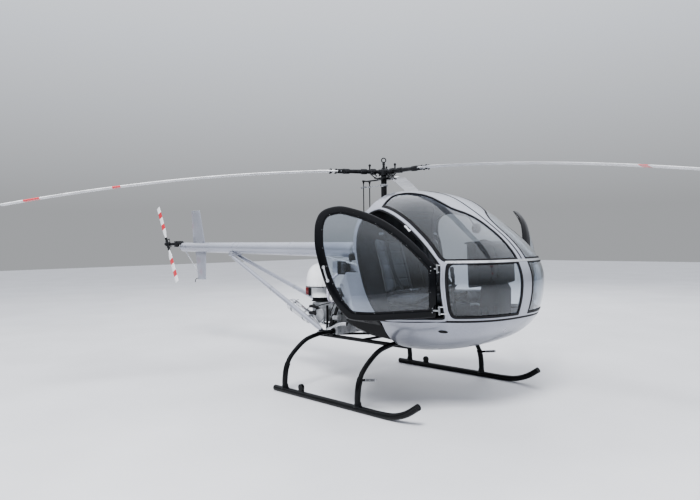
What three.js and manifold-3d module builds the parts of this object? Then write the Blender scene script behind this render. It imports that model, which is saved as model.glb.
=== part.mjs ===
// A light two-seat helicopter with an egg-shaped cabin, an open engine bay and a tubular boom,
// parked on its skids with both cabin doors standing open.
// Millimetres. +X is forward, +Y is the port side, +Z is up, and the ground is Z = 0.
// Inside this file X = 0 is the main rotor's axis. The whole group then moves forward by MAST_X,
// so that the part's own origin lies on the ground under the middle of its outline.
import * as THREE from "three";
import { mergeVertices } from "three/addons/utils/BufferGeometryUtils.js";
import { ConvexGeometry } from "three/addons/geometries/ConvexGeometry.js";
import Module from "manifold-3d";

const wasm = await Module();
wasm.setup();

// Driving dimensions
const MAST_X = 495;
const GAP = 0.3;

// Cabin surface: half-width WIDTH at the centre, falling to zero on the side profile.
const CABIN = { x: 500, z: 1120, width: 800, bulge: 3.3, round: 2.6, wall: 24, taper: 0.2 };
// Side profile of the cabin on the centre plane, going round from the nose over the roof.
const PROFILE = [
  { x: 1612, z: 1090 },
  { x: 1598, z: 1200 },
  { x: 1542, z: 1322 },
  { x: 1428, z: 1456 },
  { x: 1252, z: 1600 },
  { x: 1066, z: 1734 },
  { x: 840, z: 1864 },
  { x: 590, z: 1930 },
  { x: 330, z: 1945 },
  { x: 60, z: 1925 },
  { x: -200, z: 1840 },
  { x: -400, z: 1660 },
  { x: -520, z: 1420 },
  { x: -560, z: 1120 },
  { x: -500, z: 850 },
  { x: -340, z: 640 },
  { x: -80, z: 520 },
  { x: 250, z: 465 },
  { x: 600, z: 452 },
  { x: 900, z: 478 },
  { x: 1180, z: 540 },
  { x: 1400, z: 640 },
  { x: 1530, z: 770 },
  { x: 1592, z: 930 },
];
// Height of the cabin's waist line, where the belly meets the canopy.
const sillZ = (x) => 722 + 0.072 * Math.min(x, 1180);

// Doors
const DOOR = {
  gap: 7,
  band: 68,
  thick: 30,
  open: { left: 66, right: 48 },
  low: { x: 1246, y: 732, z: 868 },
  high: { x: 1216, y: 722, z: 1268 },
};

// Landing gear
const SKID = { r: 28, y: 940, z: 26.5, rear: -630, front: 850, tip: 1190, rise: 136 };
const CROSS = { front: 523, rear: -472, r: 22, top: 525 };

// Rotors
const ROTOR = { r: 3520, z: 2175, chord: 170, thick: 20, root: 460, droop: 0.0000289, turn: 1 };
const TAIL_ROTOR = { x: -4170, y: -200, z: 1458, r: 612, chord: 92, thick: 12, lean: 27 };
const BOOM = { rear: -4080, front: -330, rFront: 86, rRear: 66, zFront: 1372, zRear: 1412 };

// Materials
const finish = (color, roughness, metalness, extra = {}) =>
  new THREE.MeshStandardMaterial({ color, roughness, metalness, ...extra });
const SILVER = finish(0xc9cbd3, 0.38, 0.35);
const WHITE = finish(0xe9e9ea, 0.4, 0.0);
const BLACK = finish(0x131417, 0.28, 0.1);
const RUBBER = finish(0x1b1b1d, 0.75, 0.0);
const GLASS = finish(0x8ea0ad, 0.05, 0.0, { transparent: true, opacity: 0.35 });
const ALLOY = finish(0xb4b6b8, 0.42, 0.85);
const STEEL = finish(0x8b8d90, 0.35, 0.9);
const DARK = finish(0x24262a, 0.6, 0.2);
const TRIM = finish(0x2a2b2e, 0.9, 0.0);
const LAMP = finish(0x5c1416, 0.3, 0.0);

const root = new THREE.Group();
root.name = "helicopter";
root.position.x = MAST_X;

// Solids and meshes
const v3 = (x, y, z) => new THREE.Vector3(x, y, z);

function solid(geometry) {
  const bare = geometry.index ? geometry.toNonIndexed() : geometry.clone();
  bare.deleteAttribute("normal");
  bare.deleteAttribute("uv");
  const merged = mergeVertices(bare, 1e-3);
  return new wasm.Manifold(
    new wasm.Mesh({
      numProp: 3,
      vertProperties: merged.attributes.position.array,
      triVerts: new Uint32Array(merged.index.array),
    }),
  );
}

function geometryOf(body) {
  const mesh = body.getMesh();
  const geometry = new THREE.BufferGeometry();
  geometry.setAttribute("position", new THREE.BufferAttribute(mesh.vertProperties, 3));
  geometry.setIndex(new THREE.BufferAttribute(mesh.triVerts, 1));
  geometry.computeVertexNormals();
  return geometry;
}

function add(name, shape, material, parent = root) {
  const geometry = shape.isBufferGeometry ? shape : geometryOf(shape);
  const mesh = new THREE.Mesh(geometry, material);
  mesh.name = name;
  parent.add(mesh);
  return mesh;
}

const union = (...bodies) => bodies.reduce((sum, body) => sum.add(body));

// A box between two corners.
function box(x0, x1, y0, y1, z0, z1) {
  const g = new THREE.BoxGeometry(x1 - x0, y1 - y0, z1 - z0);
  g.translate((x0 + x1) / 2, (y0 + y1) / 2, (z0 + z1) / 2);
  return solid(g);
}

// A round bar from a to b.
function rod(a, b, r, sides = 12, r2 = r) {
  const along = b.clone().sub(a);
  const g = new THREE.CylinderGeometry(r2, r, along.length(), sides);
  g.applyQuaternion(
    new THREE.Quaternion().setFromUnitVectors(v3(0, 1, 0), along.clone().normalize()),
  );
  const mid = a.clone().add(b).multiplyScalar(0.5);
  g.translate(mid.x, mid.y, mid.z);
  return solid(g);
}

// A round tube along a smooth curve through the points.
function tube(points, r, steps, sides = 12) {
  const ring = new THREE.Shape();
  for (let i = 0; i < sides; i += 1) {
    const a = (i * 2 * Math.PI) / sides;
    if (i === 0) ring.moveTo(r * Math.cos(a), r * Math.sin(a));
    else ring.lineTo(r * Math.cos(a), r * Math.sin(a));
  }
  const path = new THREE.CatmullRomCurve3(points, false, "centripetal");
  return solid(new THREE.ExtrudeGeometry(ring, { steps, extrudePath: path, curveSegments: 1 }));
}

// A flat outline in the side view (x, z), extruded across the aircraft from y0 to y1.
function slab(outline, y0, y1) {
  const shape = new THREE.Shape(outline.map(([x, z]) => new THREE.Vector2(x, z)));
  const g = new THREE.ExtrudeGeometry(shape, { depth: y1 - y0, bevelEnabled: false });
  g.rotateX(Math.PI / 2);
  g.translate(0, y1, 0);
  return solid(g);
}

// A flat outline in the plan view (x, y), extruded upwards from z0 to z1.
function plate(outline, z0, z1) {
  const shape = new THREE.Shape(outline.map(([x, y]) => new THREE.Vector2(x, y)));
  const g = new THREE.ExtrudeGeometry(shape, { depth: z1 - z0, bevelEnabled: false });
  g.translate(0, 0, z0);
  return solid(g);
}

// A smooth closed outline through a few points, as a list of [x, z].
function smooth(points, count, closed = true) {
  const curve = new THREE.CatmullRomCurve3(
    points.map(([x, z]) => v3(x, 0, z)),
    closed,
    "centripetal",
  );
  const list = curve.getSpacedPoints(count).map((p) => [p.x, p.z]);
  if (closed) list.pop();
  return list;
}

const mirror = (body) => body.mirror([0, 1, 0]);

// The cabin's side profile as a smooth function of direction from its centre.
const rim = new THREE.CatmullRomCurve3(
  PROFILE.map((p) => v3(p.x - CABIN.x, 0, p.z - CABIN.z)),
  true,
  "centripetal",
).getSpacedPoints(360);

function rimRadius(angle) {
  let best = rim[0];
  let least = Infinity;
  for (const p of rim) {
    let d = Math.abs(Math.atan2(p.z, p.x) - angle);
    d = Math.min(d, 2 * Math.PI - d);
    if (d < least) {
      least = d;
      best = p;
    }
  }
  return Math.hypot(best.x, best.z);
}

// The cabin narrows towards its rear edge.
const narrowing = (x) => 1 - CABIN.taper * THREE.MathUtils.smoothstep(1000 - x, 0, 800);

// The cabin as a closed body, drawn in by the given depth all round.
function egg(inset, around = 40, across = 6) {
  const rows = [];
  for (let j = -across; j <= across; j += 1) {
    const a = (j * Math.PI) / 2 / across;
    const s = Math.pow(Math.max(Math.cos(a), 0), 2 / CABIN.bulge);
    const c = Math.sign(a) * Math.pow(Math.abs(Math.sin(a)), 2 / CABIN.round);
    rows.push({ s, y: c * (CABIN.width - inset) });
  }
  const positions = [];
  const index = [];
  for (const row of rows) {
    if (row.s < 1e-9) {
      positions.push(CABIN.x, row.y * narrowing(CABIN.x), CABIN.z);
      continue;
    }
    for (let i = 0; i < around; i += 1) {
      const angle = (i * 2 * Math.PI) / around;
      const wrapped = angle > Math.PI ? angle - 2 * Math.PI : angle;
      const radius = (rimRadius(wrapped) - inset) * row.s;
      const x = CABIN.x + radius * Math.cos(angle);
      positions.push(x, row.y * narrowing(x), CABIN.z + radius * Math.sin(angle));
    }
  }
  const ringStart = (k) => 1 + (k - 1) * around;
  const last = rows.length - 1;
  const lastIndex = positions.length / 3 - 1;
  for (let i = 0; i < around; i += 1) {
    const n = (i + 1) % around;
    index.push(0, ringStart(1) + i, ringStart(1) + n);
    for (let k = 1; k < last - 1; k += 1) {
      const p = ringStart(k);
      const q = ringStart(k + 1);
      index.push(p + i, q + i, q + n);
      index.push(p + i, q + n, p + n);
    }
    index.push(ringStart(last - 1) + n, ringStart(last - 1) + i, lastIndex);
  }
  const g = new THREE.BufferGeometry();
  g.setAttribute("position", new THREE.Float32BufferAttribute(positions, 3));
  g.setIndex(index);
  return solid(g);
}

const outer = egg(0);
const shell = outer.subtract(egg(CABIN.wall));
const doorSkin = outer.subtract(egg(DOOR.thick));
const paneSkin = egg(5).subtract(egg(11));
const cabinInside = egg(CABIN.wall + GAP);

// Side-view outlines on the cabin, as [x, z]. Each row is one point of a curve.
const RAIL = [
  [440, 1760],
  [572, 1732],
  [709, 1685],
  [841, 1619],
  [967, 1531],
  [1107, 1410],
  [1234, 1270],
];
const JAMB = [
  [519, 790],
  [467, 830],
  [414, 889],
  [331, 1019],
  [264, 1186],
];
// The doorway's rounded upper rear corner, from the jamb to the rail.
const CORNER = [
  [212, 1380],
  [204, 1480],
  [205, 1560],
  [217, 1620],
  [241, 1675],
  [283, 1717],
  [345, 1745],
];
// The canopy's rear edge, from the sill up to the roof.
const REAR_EDGE = [
  [503, 774],
  [451, 830],
  [398, 889],
  [315, 1019],
  [248, 1186],
  [191, 1380],
  [169, 1480],
  [168, 1573],
  [176, 1635],
  [192, 1688],
  [222, 1728],
  [262, 1760],
  [293, 1818],
  [318, 1872],
  [334, 1915],
  [338, 1960],
];
const sillLine = (from, to, lift) => [
  [from, sillZ(from) + lift],
  [1180, sillZ(1180) + lift],
  [to, sillZ(to) + lift],
];

// Middle line of the silver hoop round the doorway: rail, windscreen pillar, sill and jamb.
const hoop = [
  ...RAIL,
  [1254, 1067],
  [1263, 900],
  [1262, sillZ(1262) + 8],
  [900, sillZ(900) + 8],
  [660, sillZ(660) + 8],
  ...JAMB,
  ...CORNER,
];

// Moves a closed outline inwards by a distance, and drops the points that a tight corner folds over.
function inset(outline, distance) {
  const corners = outline.map(([x, z]) => new THREE.Vector2(x, z));
  const side = THREE.ShapeUtils.area(corners) > 0 ? 1 : -1;
  const count = corners.length;
  const normal = (a, b) => new THREE.Vector2(a.y - b.y, b.x - a.x).normalize().multiplyScalar(side);
  const moved = corners.map((p, i) => {
    const before = normal(corners[(i + count - 1) % count], p);
    const after = normal(p, corners[(i + 1) % count]);
    const reach = distance / Math.max(0.5, 1 + before.dot(after));
    return p.clone().addScaledVector(before.add(after), reach);
  });
  const clear = (q) =>
    corners.every((a, i) => {
      const b = corners[(i + 1) % count];
      const edge = b.clone().sub(a);
      const t = THREE.MathUtils.clamp(q.clone().sub(a).dot(edge) / edge.lengthSq(), 0, 1);
      return q.distanceTo(a.clone().addScaledVector(edge, t)) > distance * 0.985;
    });
  return moved.filter(clear).map((q) => [q.x, q.y]);
}

// Everything ahead of the cabin's rear edge.
const aheadOfJamb = slab(
  [
    [338, 2100],
    ...[...REAR_EDGE].reverse(),
    [556, 740],
    [566, 700],
    [566, 380],
    [1800, 380],
    [1800, 2100],
  ],
  -900,
  900,
);
const aboveSill = slab([...sillLine(-700, 1900, 9), [1900, 2200], [-700, 2200]], -900, 900);
const belowSill = slab([...sillLine(-700, 1900, -9), [1900, 300], [-700, 300]], -900, 900);
const sillBand = slab(
  [...sillLine(-700, 1900, -9 + GAP), ...sillLine(-700, 1900, 9 - GAP).reverse()],
  -900,
  900,
);

// Upper windscreen: above the rail and the cross bar, beside the roof's centre panel.
const upperPane = inset(
  [
    ...RAIL.slice(0, -1),
    [1246, 1277],
    [1420, 1277],
    [1950, 1280],
    [1950, 2200],
    [440, 2200],
  ],
  22,
);
// The roof's centre panel ends here, in the plan view; it narrows to the centre strip on the nose.
const roofEdge = [
  [436, 900],
  [432, 600],
  [436, 480],
  [467, 371],
  [560, 302],
  [745, 281],
  [901, 283],
  [1014, 259],
  [1060, 213],
  [1104, 154],
  [1160, 106],
  [1240, 84],
  [1340, 84],
  [1440, 90],
  [1800, 90],
  [1800, 900],
];
// Lower windscreen: between the cross bar and the sill, ahead of the pillar.
const lowerPane = [
  [1277, 1278],
  [1286, 1067],
  [1292, 900],
  [1304, sillZ(1300) + 32],
  [1800, sillZ(1800) + 32],
  [1800, 1278],
];
const HALF_STRIP = 90;

const doorwayPoints = inset(hoop, 20);
const doorway = slab(doorwayPoints, 100, 900);
const upperHole = slab(upperPane, 60, 900).intersect(plate(roofEdge, 1200, 2000));
const lowerHole = slab(lowerPane, HALF_STRIP, 900);
const bothSides = (body) => body.add(mirror(body));


// Door hinges: each leaf's knuckle turns between two fixed lugs that stand on the hoop.
const hingeLow = v3(DOOR.low.x, DOOR.low.y, DOOR.low.z);
const hingeHigh = v3(DOOR.high.x, DOOR.high.y, DOOR.high.z);
const hingeAxis = hingeHigh.clone().sub(hingeLow).normalize();
const hingeSpots = [34, -34].map((d) => (d > 0 ? hingeLow : hingeHigh).clone().addScaledVector(hingeAxis, d));
const fixedLug = (at, from, to) => {
  const a = at.clone().addScaledVector(hingeAxis, from);
  const b = at.clone().addScaledVector(hingeAxis, to);
  const mid = a.clone().add(b).multiplyScalar(0.5);
  return union(rod(a, b, 9, 8), rod(mid, v3(mid.x + 30, mid.y - 84, mid.z), 5, 6));
};
const fixedLugs = union(...hingeSpots.flatMap((at) => [fixedLug(at, -34, -20.4), fixedLug(at, 20.4, 34)]));
add(
  "canopy_frame",
  shell
    .intersect(aheadOfJamb)
    .intersect(aboveSill)
    .subtract(bothSides(doorway))
    .subtract(bothSides(upperHole))
    .subtract(bothSides(lowerHole))
    .add(bothSides(fixedLugs)),
  SILVER,
);
add("belly_shell", shell.intersect(aheadOfJamb).intersect(belowSill), SILVER);
add("sill_seal", egg(1).subtract(egg(CABIN.wall - 2)).intersect(aheadOfJamb).intersect(sillBand), RUBBER);

const upperGlass = paneSkin
  .intersect(slab(inset(upperPane, 0.6), 60, 900))
  .intersect(plate(inset(roofEdge, 0.6), 1200, 2000));
const lowerGlass = paneSkin.intersect(slab(inset(lowerPane, 0.6), HALF_STRIP + 0.6, 900));
add("windscreen_upper_left", upperGlass, GLASS);
add("windscreen_upper_right", mirror(upperGlass), GLASS);
add("windscreen_lower_left", lowerGlass, GLASS);
add("windscreen_lower_right", mirror(lowerGlass), GLASS);

// Rear bulkhead: a thin wall just ahead of the cabin's rear edge.
const wallLine = [...REAR_EDGE.slice(1).reverse().map(([x, z]) => [x + 10, z]), [470, 815]];
add(
  "rear_bulkhead",
  slab([...wallLine, ...wallLine.map(([x, z]) => [x - 14, z]).reverse()], -760, 760).intersect(
    cabinInside,
  ),
  DARK,
);

// Cabin floor with the seat box on it
add("cabin_floor", box(566, 1500, -720, 720, 690, 706).intersect(cabinInside), DARK);
const FLOOR_TOP = 706 + GAP;
const SEATS = [
  { side: "left", y: 285 },
  { side: "right", y: -285 },
];
add("seat_box", slab([[600, FLOOR_TOP], [930, FLOOR_TOP], [960, 880], [500, 880]], -520, 520), DARK);
for (const { side, y } of SEATS) {
  add(
    `seat_cushion_${side}`,
    slab([[440, 880.4], [965, 880.4], [985, 920], [960, 985], [402, 964]], y - 215, y + 215),
    TRIM,
  );
  add(
    `seat_back_${side}`,
    slab([[396, 964.4], [505, 968.5], [352, 1480], [318, 1515], [268, 1508], [258, 1430]], y - 205, y + 205),
    TRIM,
  );
}

// Instrument console and the two cyclic sticks
add(
  "console",
  union(
    slab([[1180, FLOOR_TOP], [1390, FLOOR_TOP], [1400, 1040], [1320, 1150], [1225, 1140]], -105, 105),
    slab([[1212, 1050], [1330, 1088], [1322, 1290], [1286, 1420], [1238, 1448], [1196, 1440]], -290, 290),
  ),
  DARK,
);
for (const { side, y } of SEATS) {
  add(
    `cyclic_stick_${side}`,
    tube(
      [
        v3(1080, y, 700),
        v3(1080, y, 840),
        v3(1050, y, 1000),
        v3(1060, y, 1110),
        v3(1040, y, 1230),
      ],
      13,
      10,
      8,
    ).intersect(box(900, 1200, -600, 600, FLOOR_TOP, 1400)),
    BLACK,
  );
}

// Doors, built shut and then swung open about the hinge line.
const doorOutline = inset(doorwayPoints, DOOR.gap);
const windowOutline = inset(doorOutline, DOOR.band);
const knuckle = (at) =>
  union(
    rod(at.clone().addScaledVector(hingeAxis, -20), at.clone().addScaledVector(hingeAxis, 20), 8, 8),
    rod(at, v3(at.x - 56, at.y - 36, at.z), 7, 6),
  );
const doorFrame = doorSkin
  .intersect(slab(doorOutline, 100, 900))
  .subtract(slab(windowOutline, 90, 910))
  .add(knuckle(hingeSpots[0]))
  .add(knuckle(hingeSpots[1]));
const doorPane = egg(11).subtract(egg(17)).intersect(slab(inset(windowOutline, 0.6), 90, 910));

for (const { side, sign } of [
  { side: "left", sign: 1 },
  { side: "right", sign: -1 },
]) {
  const low = v3(hingeLow.x, hingeLow.y * sign, hingeLow.z);
  const axis = v3(hingeAxis.x, hingeAxis.y * sign, hingeAxis.z);
  const pivot = new THREE.Group();
  pivot.position.copy(low);
  pivot.quaternion.setFromAxisAngle(axis, THREE.MathUtils.degToRad(-sign * DOOR.open[side]));
  root.add(pivot);
  const leaf = new THREE.Group();
  leaf.position.copy(low).negate();
  pivot.add(leaf);
  const onSide = (body) => (sign > 0 ? body : mirror(body));
  add(`door_frame_${side}`, onSide(doorFrame), BLACK, leaf);
  add(`door_glass_${side}`, onSide(doorPane), GLASS, leaf);
}

// Landing gear: two skids with handling lugs, and two arched cross tubes
for (const { side, y } of [
  { side: "left", y: SKID.y },
  { side: "right", y: -SKID.y },
]) {
  add(
    `skid_${side}`,
    union(
      tube(
        [
          v3(SKID.rear, y, SKID.z),
          v3(SKID.front - 200, y, SKID.z),
          v3(SKID.front - 60, y, SKID.z),
          v3(SKID.front + 90, y, SKID.z + 14),
          v3(SKID.front + 220, y, SKID.z + 60),
          v3(SKID.tip, y, SKID.z + SKID.rise),
        ],
        SKID.r,
        16,
        12,
      ).subtract(box(-900, 1300, -1000, 1000, -60, 0)),
      box(-276, -188, y - 14, y + 14, 40, 122).subtract(
        rod(v3(-230, y - 40, 88), v3(-230, y + 40, 88), 17, 16),
      ),
    ),
    BLACK,
  );
}
const ARCH = [
  { y: 943, z: 24 },
  { y: 943, z: 110 },
  { y: 928, z: 225 },
  { y: 884, z: 322 },
  { y: 785, z: 414 },
  { y: 665, z: 486 },
  { y: 500, z: 521 },
  { y: 410, z: 525.5 },
  { y: 330, z: 526 },
  { y: 0, z: 526 },
];
const skidCut = union(
  rod(v3(-800, SKID.y, SKID.z), v3(640, SKID.y, SKID.z), SKID.r + 0.4, 12),
  rod(v3(-800, -SKID.y, SKID.z), v3(640, -SKID.y, SKID.z), SKID.r + 0.4, 12),
);
for (const { name, x, peg } of [
  { name: "cross_tube_front", x: CROSS.front, peg: true },
  { name: "cross_tube_rear", x: CROSS.rear, peg: false },
]) {
  const right = ARCH.map((p) => v3(x, -p.y, p.z));
  const left = ARCH.slice(0, -1)
    .reverse()
    .map((p) => v3(x, p.y, p.z));
  let body = tube([...right, ...left], CROSS.r, 28, 8);
  body = body.subtract(box(x - 60, x + 60, -1100, 1100, -60, SKID.z + 10)).subtract(skidCut);
  if (peg) {
    body = union(
      body,
      rod(v3(x, -912, 268), v3(x + 185, -912, 296), 13, 8),
      rod(v3(x, 912, 268), v3(x + 185, 912, 296), 13, 8),
    );
  }
  add(name, body, BLACK);
}

// Lower truss: two rails under the cross tubes, with saddles, a rear bar and the strut feet
const TRUSS = { y: 300, z: 478, r: 19, rear: -720, front: 548 };
const trussParts = [
  rod(v3(TRUSS.rear + 20, -TRUSS.y, TRUSS.z), v3(TRUSS.rear + 20, TRUSS.y, TRUSS.z), TRUSS.r, 8),
  rod(v3(-60, -TRUSS.y, TRUSS.z), v3(-60, TRUSS.y, TRUSS.z), 15, 6),
  rod(v3(TRUSS.rear + 20, -TRUSS.y, TRUSS.z), v3(-60, TRUSS.y, TRUSS.z), 12, 6),
];
for (const s of [-1, 1]) {
  const y = s * TRUSS.y;
  trussParts.push(rod(v3(TRUSS.rear, y, TRUSS.z), v3(TRUSS.front, y, TRUSS.z), TRUSS.r, 8));
  trussParts.push(box(-702, -574, y - 26, y + 26, 462, 528));
  for (const x of [CROSS.front, CROSS.rear]) {
    trussParts.push(box(x - 32, x + 24, y - 24, y + 24, 470, 524));
  }
}
const crossCut = union(
  rod(v3(CROSS.front, -420, 526), v3(CROSS.front, 420, 526), CROSS.r + 0.5, 8),
  rod(v3(CROSS.rear, -420, 526), v3(CROSS.rear, 420, 526), CROSS.r + 0.5, 8),
);
add("lower_truss", union(...trussParts).subtract(crossCut), BLACK);

// Black pan behind the belly, with the shelf that carries the fuel tanks
const shelfZ = (x) => 746.5 + 0.0886 * (x - 83);
add(
  "under_tray",
  union(
    slab([[-436, 552], [400, 552], [470, 548.5], [540, 548.5], [565.6, 600], [565.6, 706], [490, 712], [-76, 712], [-436, 590]], -420, 420),
    slab([[-30, 704], [490, 704], [490, shelfZ(490)], [40, shelfZ(40)], [-30, 716]], -600, 600),
  ).intersect(cabinInside),
  BLACK,
);

// Side fuel tanks behind the cabin, creased along a slanted line
const tankCorners = [
  [-47, 1169, 500],
  [51, 1169, 605],
  [262, 1169, 612],
  [330, 990, 618],
  [478, 782, 620],
  [183, 756, 622],
  [83, 747, 560],
  [-148, 1034, 500],
  [-47, 1169, 335],
  [262, 1169, 335],
  [478, 782, 335],
  [83, 747, 335],
  [-148, 1034, 335],
];
const behindCabin = slab(
  [[-400, 600], [500, 600], [468, 786], ...REAR_EDGE.slice(1, 7).map(([x, z]) => [x - 14, z]), [-400, 1420]],
  -900,
  900,
);
for (const { side, sign } of [
  { side: "left", sign: 1 },
  { side: "right", sign: -1 },
]) {
  const corners = tankCorners.map(([x, z, y]) => v3(x, y * sign, z));
  add(`fuel_tank_${side}`, solid(new ConvexGeometry(corners)).intersect(behindCabin), SILVER);
}

// Engine: crankcase, a cylinder bank on each side, and the intake on top
add(
  "engine",
  union(
    box(-985, -380, -140, 140, 604, 790),
    box(-850, -420, -232, 232, 600, 745),
    box(-740, -430, -100, 100, 780, 900),
    rod(v3(-700, 0, 890), v3(-700, 0, 960), 60, 14),
    box(-425, -390, -314, 314, 497 + GAP, 612),
    box(-716, -684, -40, 40, 497 + GAP, 620),
  ),
  ALLOY,
);
const DOME = { x: -990, r: 166, z: 790 };
const dome = (grow) =>
  new THREE.LatheGeometry(
    [
      [0, 0],
      [106, 0],
      [106, 160],
      [160, 160],
      [DOME.r, 170],
      [DOME.r, 214],
      [159, 282],
      [138, 345],
      [98, 398],
      [46, 427],
      [0, 432],
    ].map(([r, z]) => new THREE.Vector2(r > 0 ? r + grow : 0, z)),
    24,
  )
    .rotateX(Math.PI / 2)
    .translate(DOME.x, 0, DOME.z + GAP);
add("fan_shroud", dome(0), WHITE);
add("rear_lamp", box(-1215, -1090, -36, 36, 857, 945).subtract(solid(dome(0.4))), LAMP);
add(
  "muffler",
  union(
    rod(v3(-1385, -122, 747), v3(-1020, -122, 597), 66, 14),
    rod(v3(-1385, -122, 747), v3(-1430, -122, 765.5), 40, 12, 26),
    rod(v3(-1060, -122, 613), v3(-920, -110, 640), 26, 10),
  ).subtract(box(-985 - GAP, -800, -300, 300, 500, 900)),
  ALLOY,
);

// Engine frame: four legs up to the gearbox deck, and the cradle under the front of the boom
const DECK = { z: 1100, thick: 18 };
const DECK_TOP = DECK.z + DECK.thick;
const boomRod = (grow) =>
  rod(
    v3(BOOM.front, 0, BOOM.zFront),
    v3(BOOM.rear + 40, 0, BOOM.zRear),
    BOOM.rFront + grow,
    28,
    BOOM.rRear + grow,
  );
const frameParts = [box(-345, 115, -238, 238, DECK.z, DECK_TOP)];
for (const s of [-1, 1]) {
  frameParts.push(rod(v3(-540, s * 300, 490), v3(-320, s * 218, DECK.z + 6), 17, 8));
  frameParts.push(rod(v3(-56, s * 218, 700), v3(-56, s * 218, DECK.z + 6), 17, 8));
  frameParts.push(rod(v3(-540, s * 300, 505), v3(-80, s * 218, DECK.z - 10), 12, 8));
  frameParts.push(rod(v3(-330, s * 200, DECK.z + 8), v3(-400, s * 92, 1284), 13, 6));
}
frameParts.push(box(-425, -375, -104, 104, 1262, 1330));
add(
  "engine_frame",
  union(...frameParts)
    .subtract(boomRod(0.8))
    .subtract(box(-900, 500, -500, 500, 400, 497.5))
    .subtract(box(-430, -20, -600, 600, 400, 712 + GAP)),
  BLACK,
);

// Main gearbox on the deck, mast, swashplate and control rods
const HUB_Z = ROTOR.z;
add(
  "gearbox",
  union(
    rod(v3(0, 0, DECK_TOP + GAP), v3(0, 0, 1560), 100, 18, 86),
    rod(v3(0, 0, 1559), v3(0, 0, 1640), 86, 18, 46),
    rod(v3(-40, 0, BOOM.zFront), v3(BOOM.front + 1.4, 0, BOOM.zFront), 60, 12),
    box(-120, 80, -120, 120, DECK_TOP + GAP, 1150),
  ),
  ALLOY,
);
add("mast", rod(v3(0, 0, 1640 + GAP), v3(0, 0, HUB_Z - 45.4), 29, 16), STEEL);
add(
  "swashplate",
  union(
    rod(v3(0, 0, 2084), v3(0, 0, 2108), 74, 20),
    box(-262, -60, -11, 11, 2084, 2100),
    box(-262, -234, -60, 60, 2084, 2100),
  ).subtract(rod(v3(0, 0, 2000), v3(0, 0, 2120), 30, 24)),
  STEEL,
);
const HOUSING_TOP = BOOM.zFront + 60;
add(
  "control_rods",
  union(
    rod(v3(-246, -46, HOUSING_TOP + 6), v3(-246, -46, 2084 - GAP), 7, 8),
    rod(v3(-246, 46, HOUSING_TOP + 6), v3(-246, 46, 2084 - GAP), 7, 8),
    box(-264, -228, -60, 60, HOUSING_TOP + GAP, HOUSING_TOP + 24),
    box(-254, -240, -60, 60, 2022, 2038),
    box(-330, -30, -8, 8, 2024, 2036),
    rod(v3(0, 0, 2016), v3(0, 0, 2044), 39, 16),
  ).subtract(rod(v3(0, 0, 2000), v3(0, 0, 2060), 29 + GAP, 24)),
  STEEL,
);

// Tail boom with its two struts and their bracket
const boomAxis = v3(BOOM.rear - BOOM.front, 0, BOOM.zRear - BOOM.zFront);
const boomShape = new THREE.LatheGeometry(
  [
    [0, 0],
    [BOOM.rFront, 0],
    [BOOM.rRear, boomAxis.length() - 40],
    [44, boomAxis.length()],
    [0, boomAxis.length()],
  ].map(([r, along]) => new THREE.Vector2(r, along)),
  28,
);
boomShape.applyQuaternion(
  new THREE.Quaternion().setFromUnitVectors(v3(0, 1, 0), boomAxis.clone().normalize()),
);
boomShape.translate(BOOM.front, 0, BOOM.zFront);
add("tail_boom", boomShape, SILVER);
add("strut_bracket", box(-2748, -2652, -78, 78, 1292, 1348).subtract(boomRod(0.8)), ALLOY);
for (const { side, s } of [
  { side: "left", s: 1 },
  { side: "right", s: -1 },
]) {
  const top = v3(-2760, s * 43, 1312);
  const foot = v3(-600, s * 311, 515);
  add(
    `boom_strut_${side}`,
    rod(top, foot, 27, 14).intersect(box(-2900, -500, -500, 500, 528 + GAP, 1292 - GAP)),
    SILVER,
  );
}

// Tail surfaces
const finShape = (corners, thick) => slab(corners, -thick / 2, thick / 2);
add("fin_upper", finShape([[-3773, 1477], [-3452, 1475.4], [-3581, 1938], [-3816, 1942]], 18), SILVER);
add("fin_lower", finShape([[-3715, 1340.2], [-3428, 1335.6], [-3440, 948], [-3652, 942]], 18), SILVER);
add(
  "tail_brace",
  rod(v3(-4000, 0, 1352), v3(-3650, 0, 1045), 9, 8)
    .subtract(boomRod(0.6))
    .subtract(finShape([[-3716, 1345], [-3428, 1345], [-3440, 940], [-3653, 940]], 40)),
  ALLOY,
);
add(
  "tail_gearbox",
  union(
    rod(v3(BOOM.rear - 1.2, 0, BOOM.zRear), v3(BOOM.rear - 50, 0, BOOM.zRear), 42, 14),
    rod(v3(BOOM.rear - 50, 0, BOOM.zRear + 6), v3(TAIL_ROTOR.x, 0, TAIL_ROTOR.z), 36, 12),
    rod(v3(TAIL_ROTOR.x, 56, TAIL_ROTOR.z), v3(TAIL_ROTOR.x, -96, TAIL_ROTOR.z), 46, 14),
    rod(v3(TAIL_ROTOR.x, -90, TAIL_ROTOR.z), v3(TAIL_ROTOR.x, -157.6, TAIL_ROTOR.z), 20, 12),
  ),
  ALLOY,
);

// Main rotor: hub with three arms and pitch links, three drooping blades, lifting eye on top
const rotor = new THREE.Group();
rotor.position.set(0, 0, HUB_Z);
root.add(rotor);
const hubParts = [
  rod(v3(0, 0, -45), v3(0, 0, 28), 46, 16),
  rod(v3(0, 0, 26), v3(0, 0, 88), 13, 8),
];
const bladeTurns = [0, 120, 240].map((d) => THREE.MathUtils.degToRad(d + ROTOR.turn));
for (const a of bladeTurns) {
  const out = (r, z, side = 0) =>
    v3(r * Math.cos(a) - side * Math.sin(a), r * Math.sin(a) + side * Math.cos(a), z);
  hubParts.push(rod(out(30, -7), out(ROTOR.root + 30, -7), 24, 8));
  hubParts.push(rod(out(150, -7, 0), out(150, -7, 62), 11, 6));
  hubParts.push(rod(out(150, -4, 56), out(84, -56, 30), 6, 5));
}
const eye = new THREE.TorusGeometry(22, 6, 5, 12);
eye.rotateX(Math.PI / 2);
eye.rotateZ(Math.PI / 4);
eye.translate(0, 0, 112);
hubParts.push(solid(eye));
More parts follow.
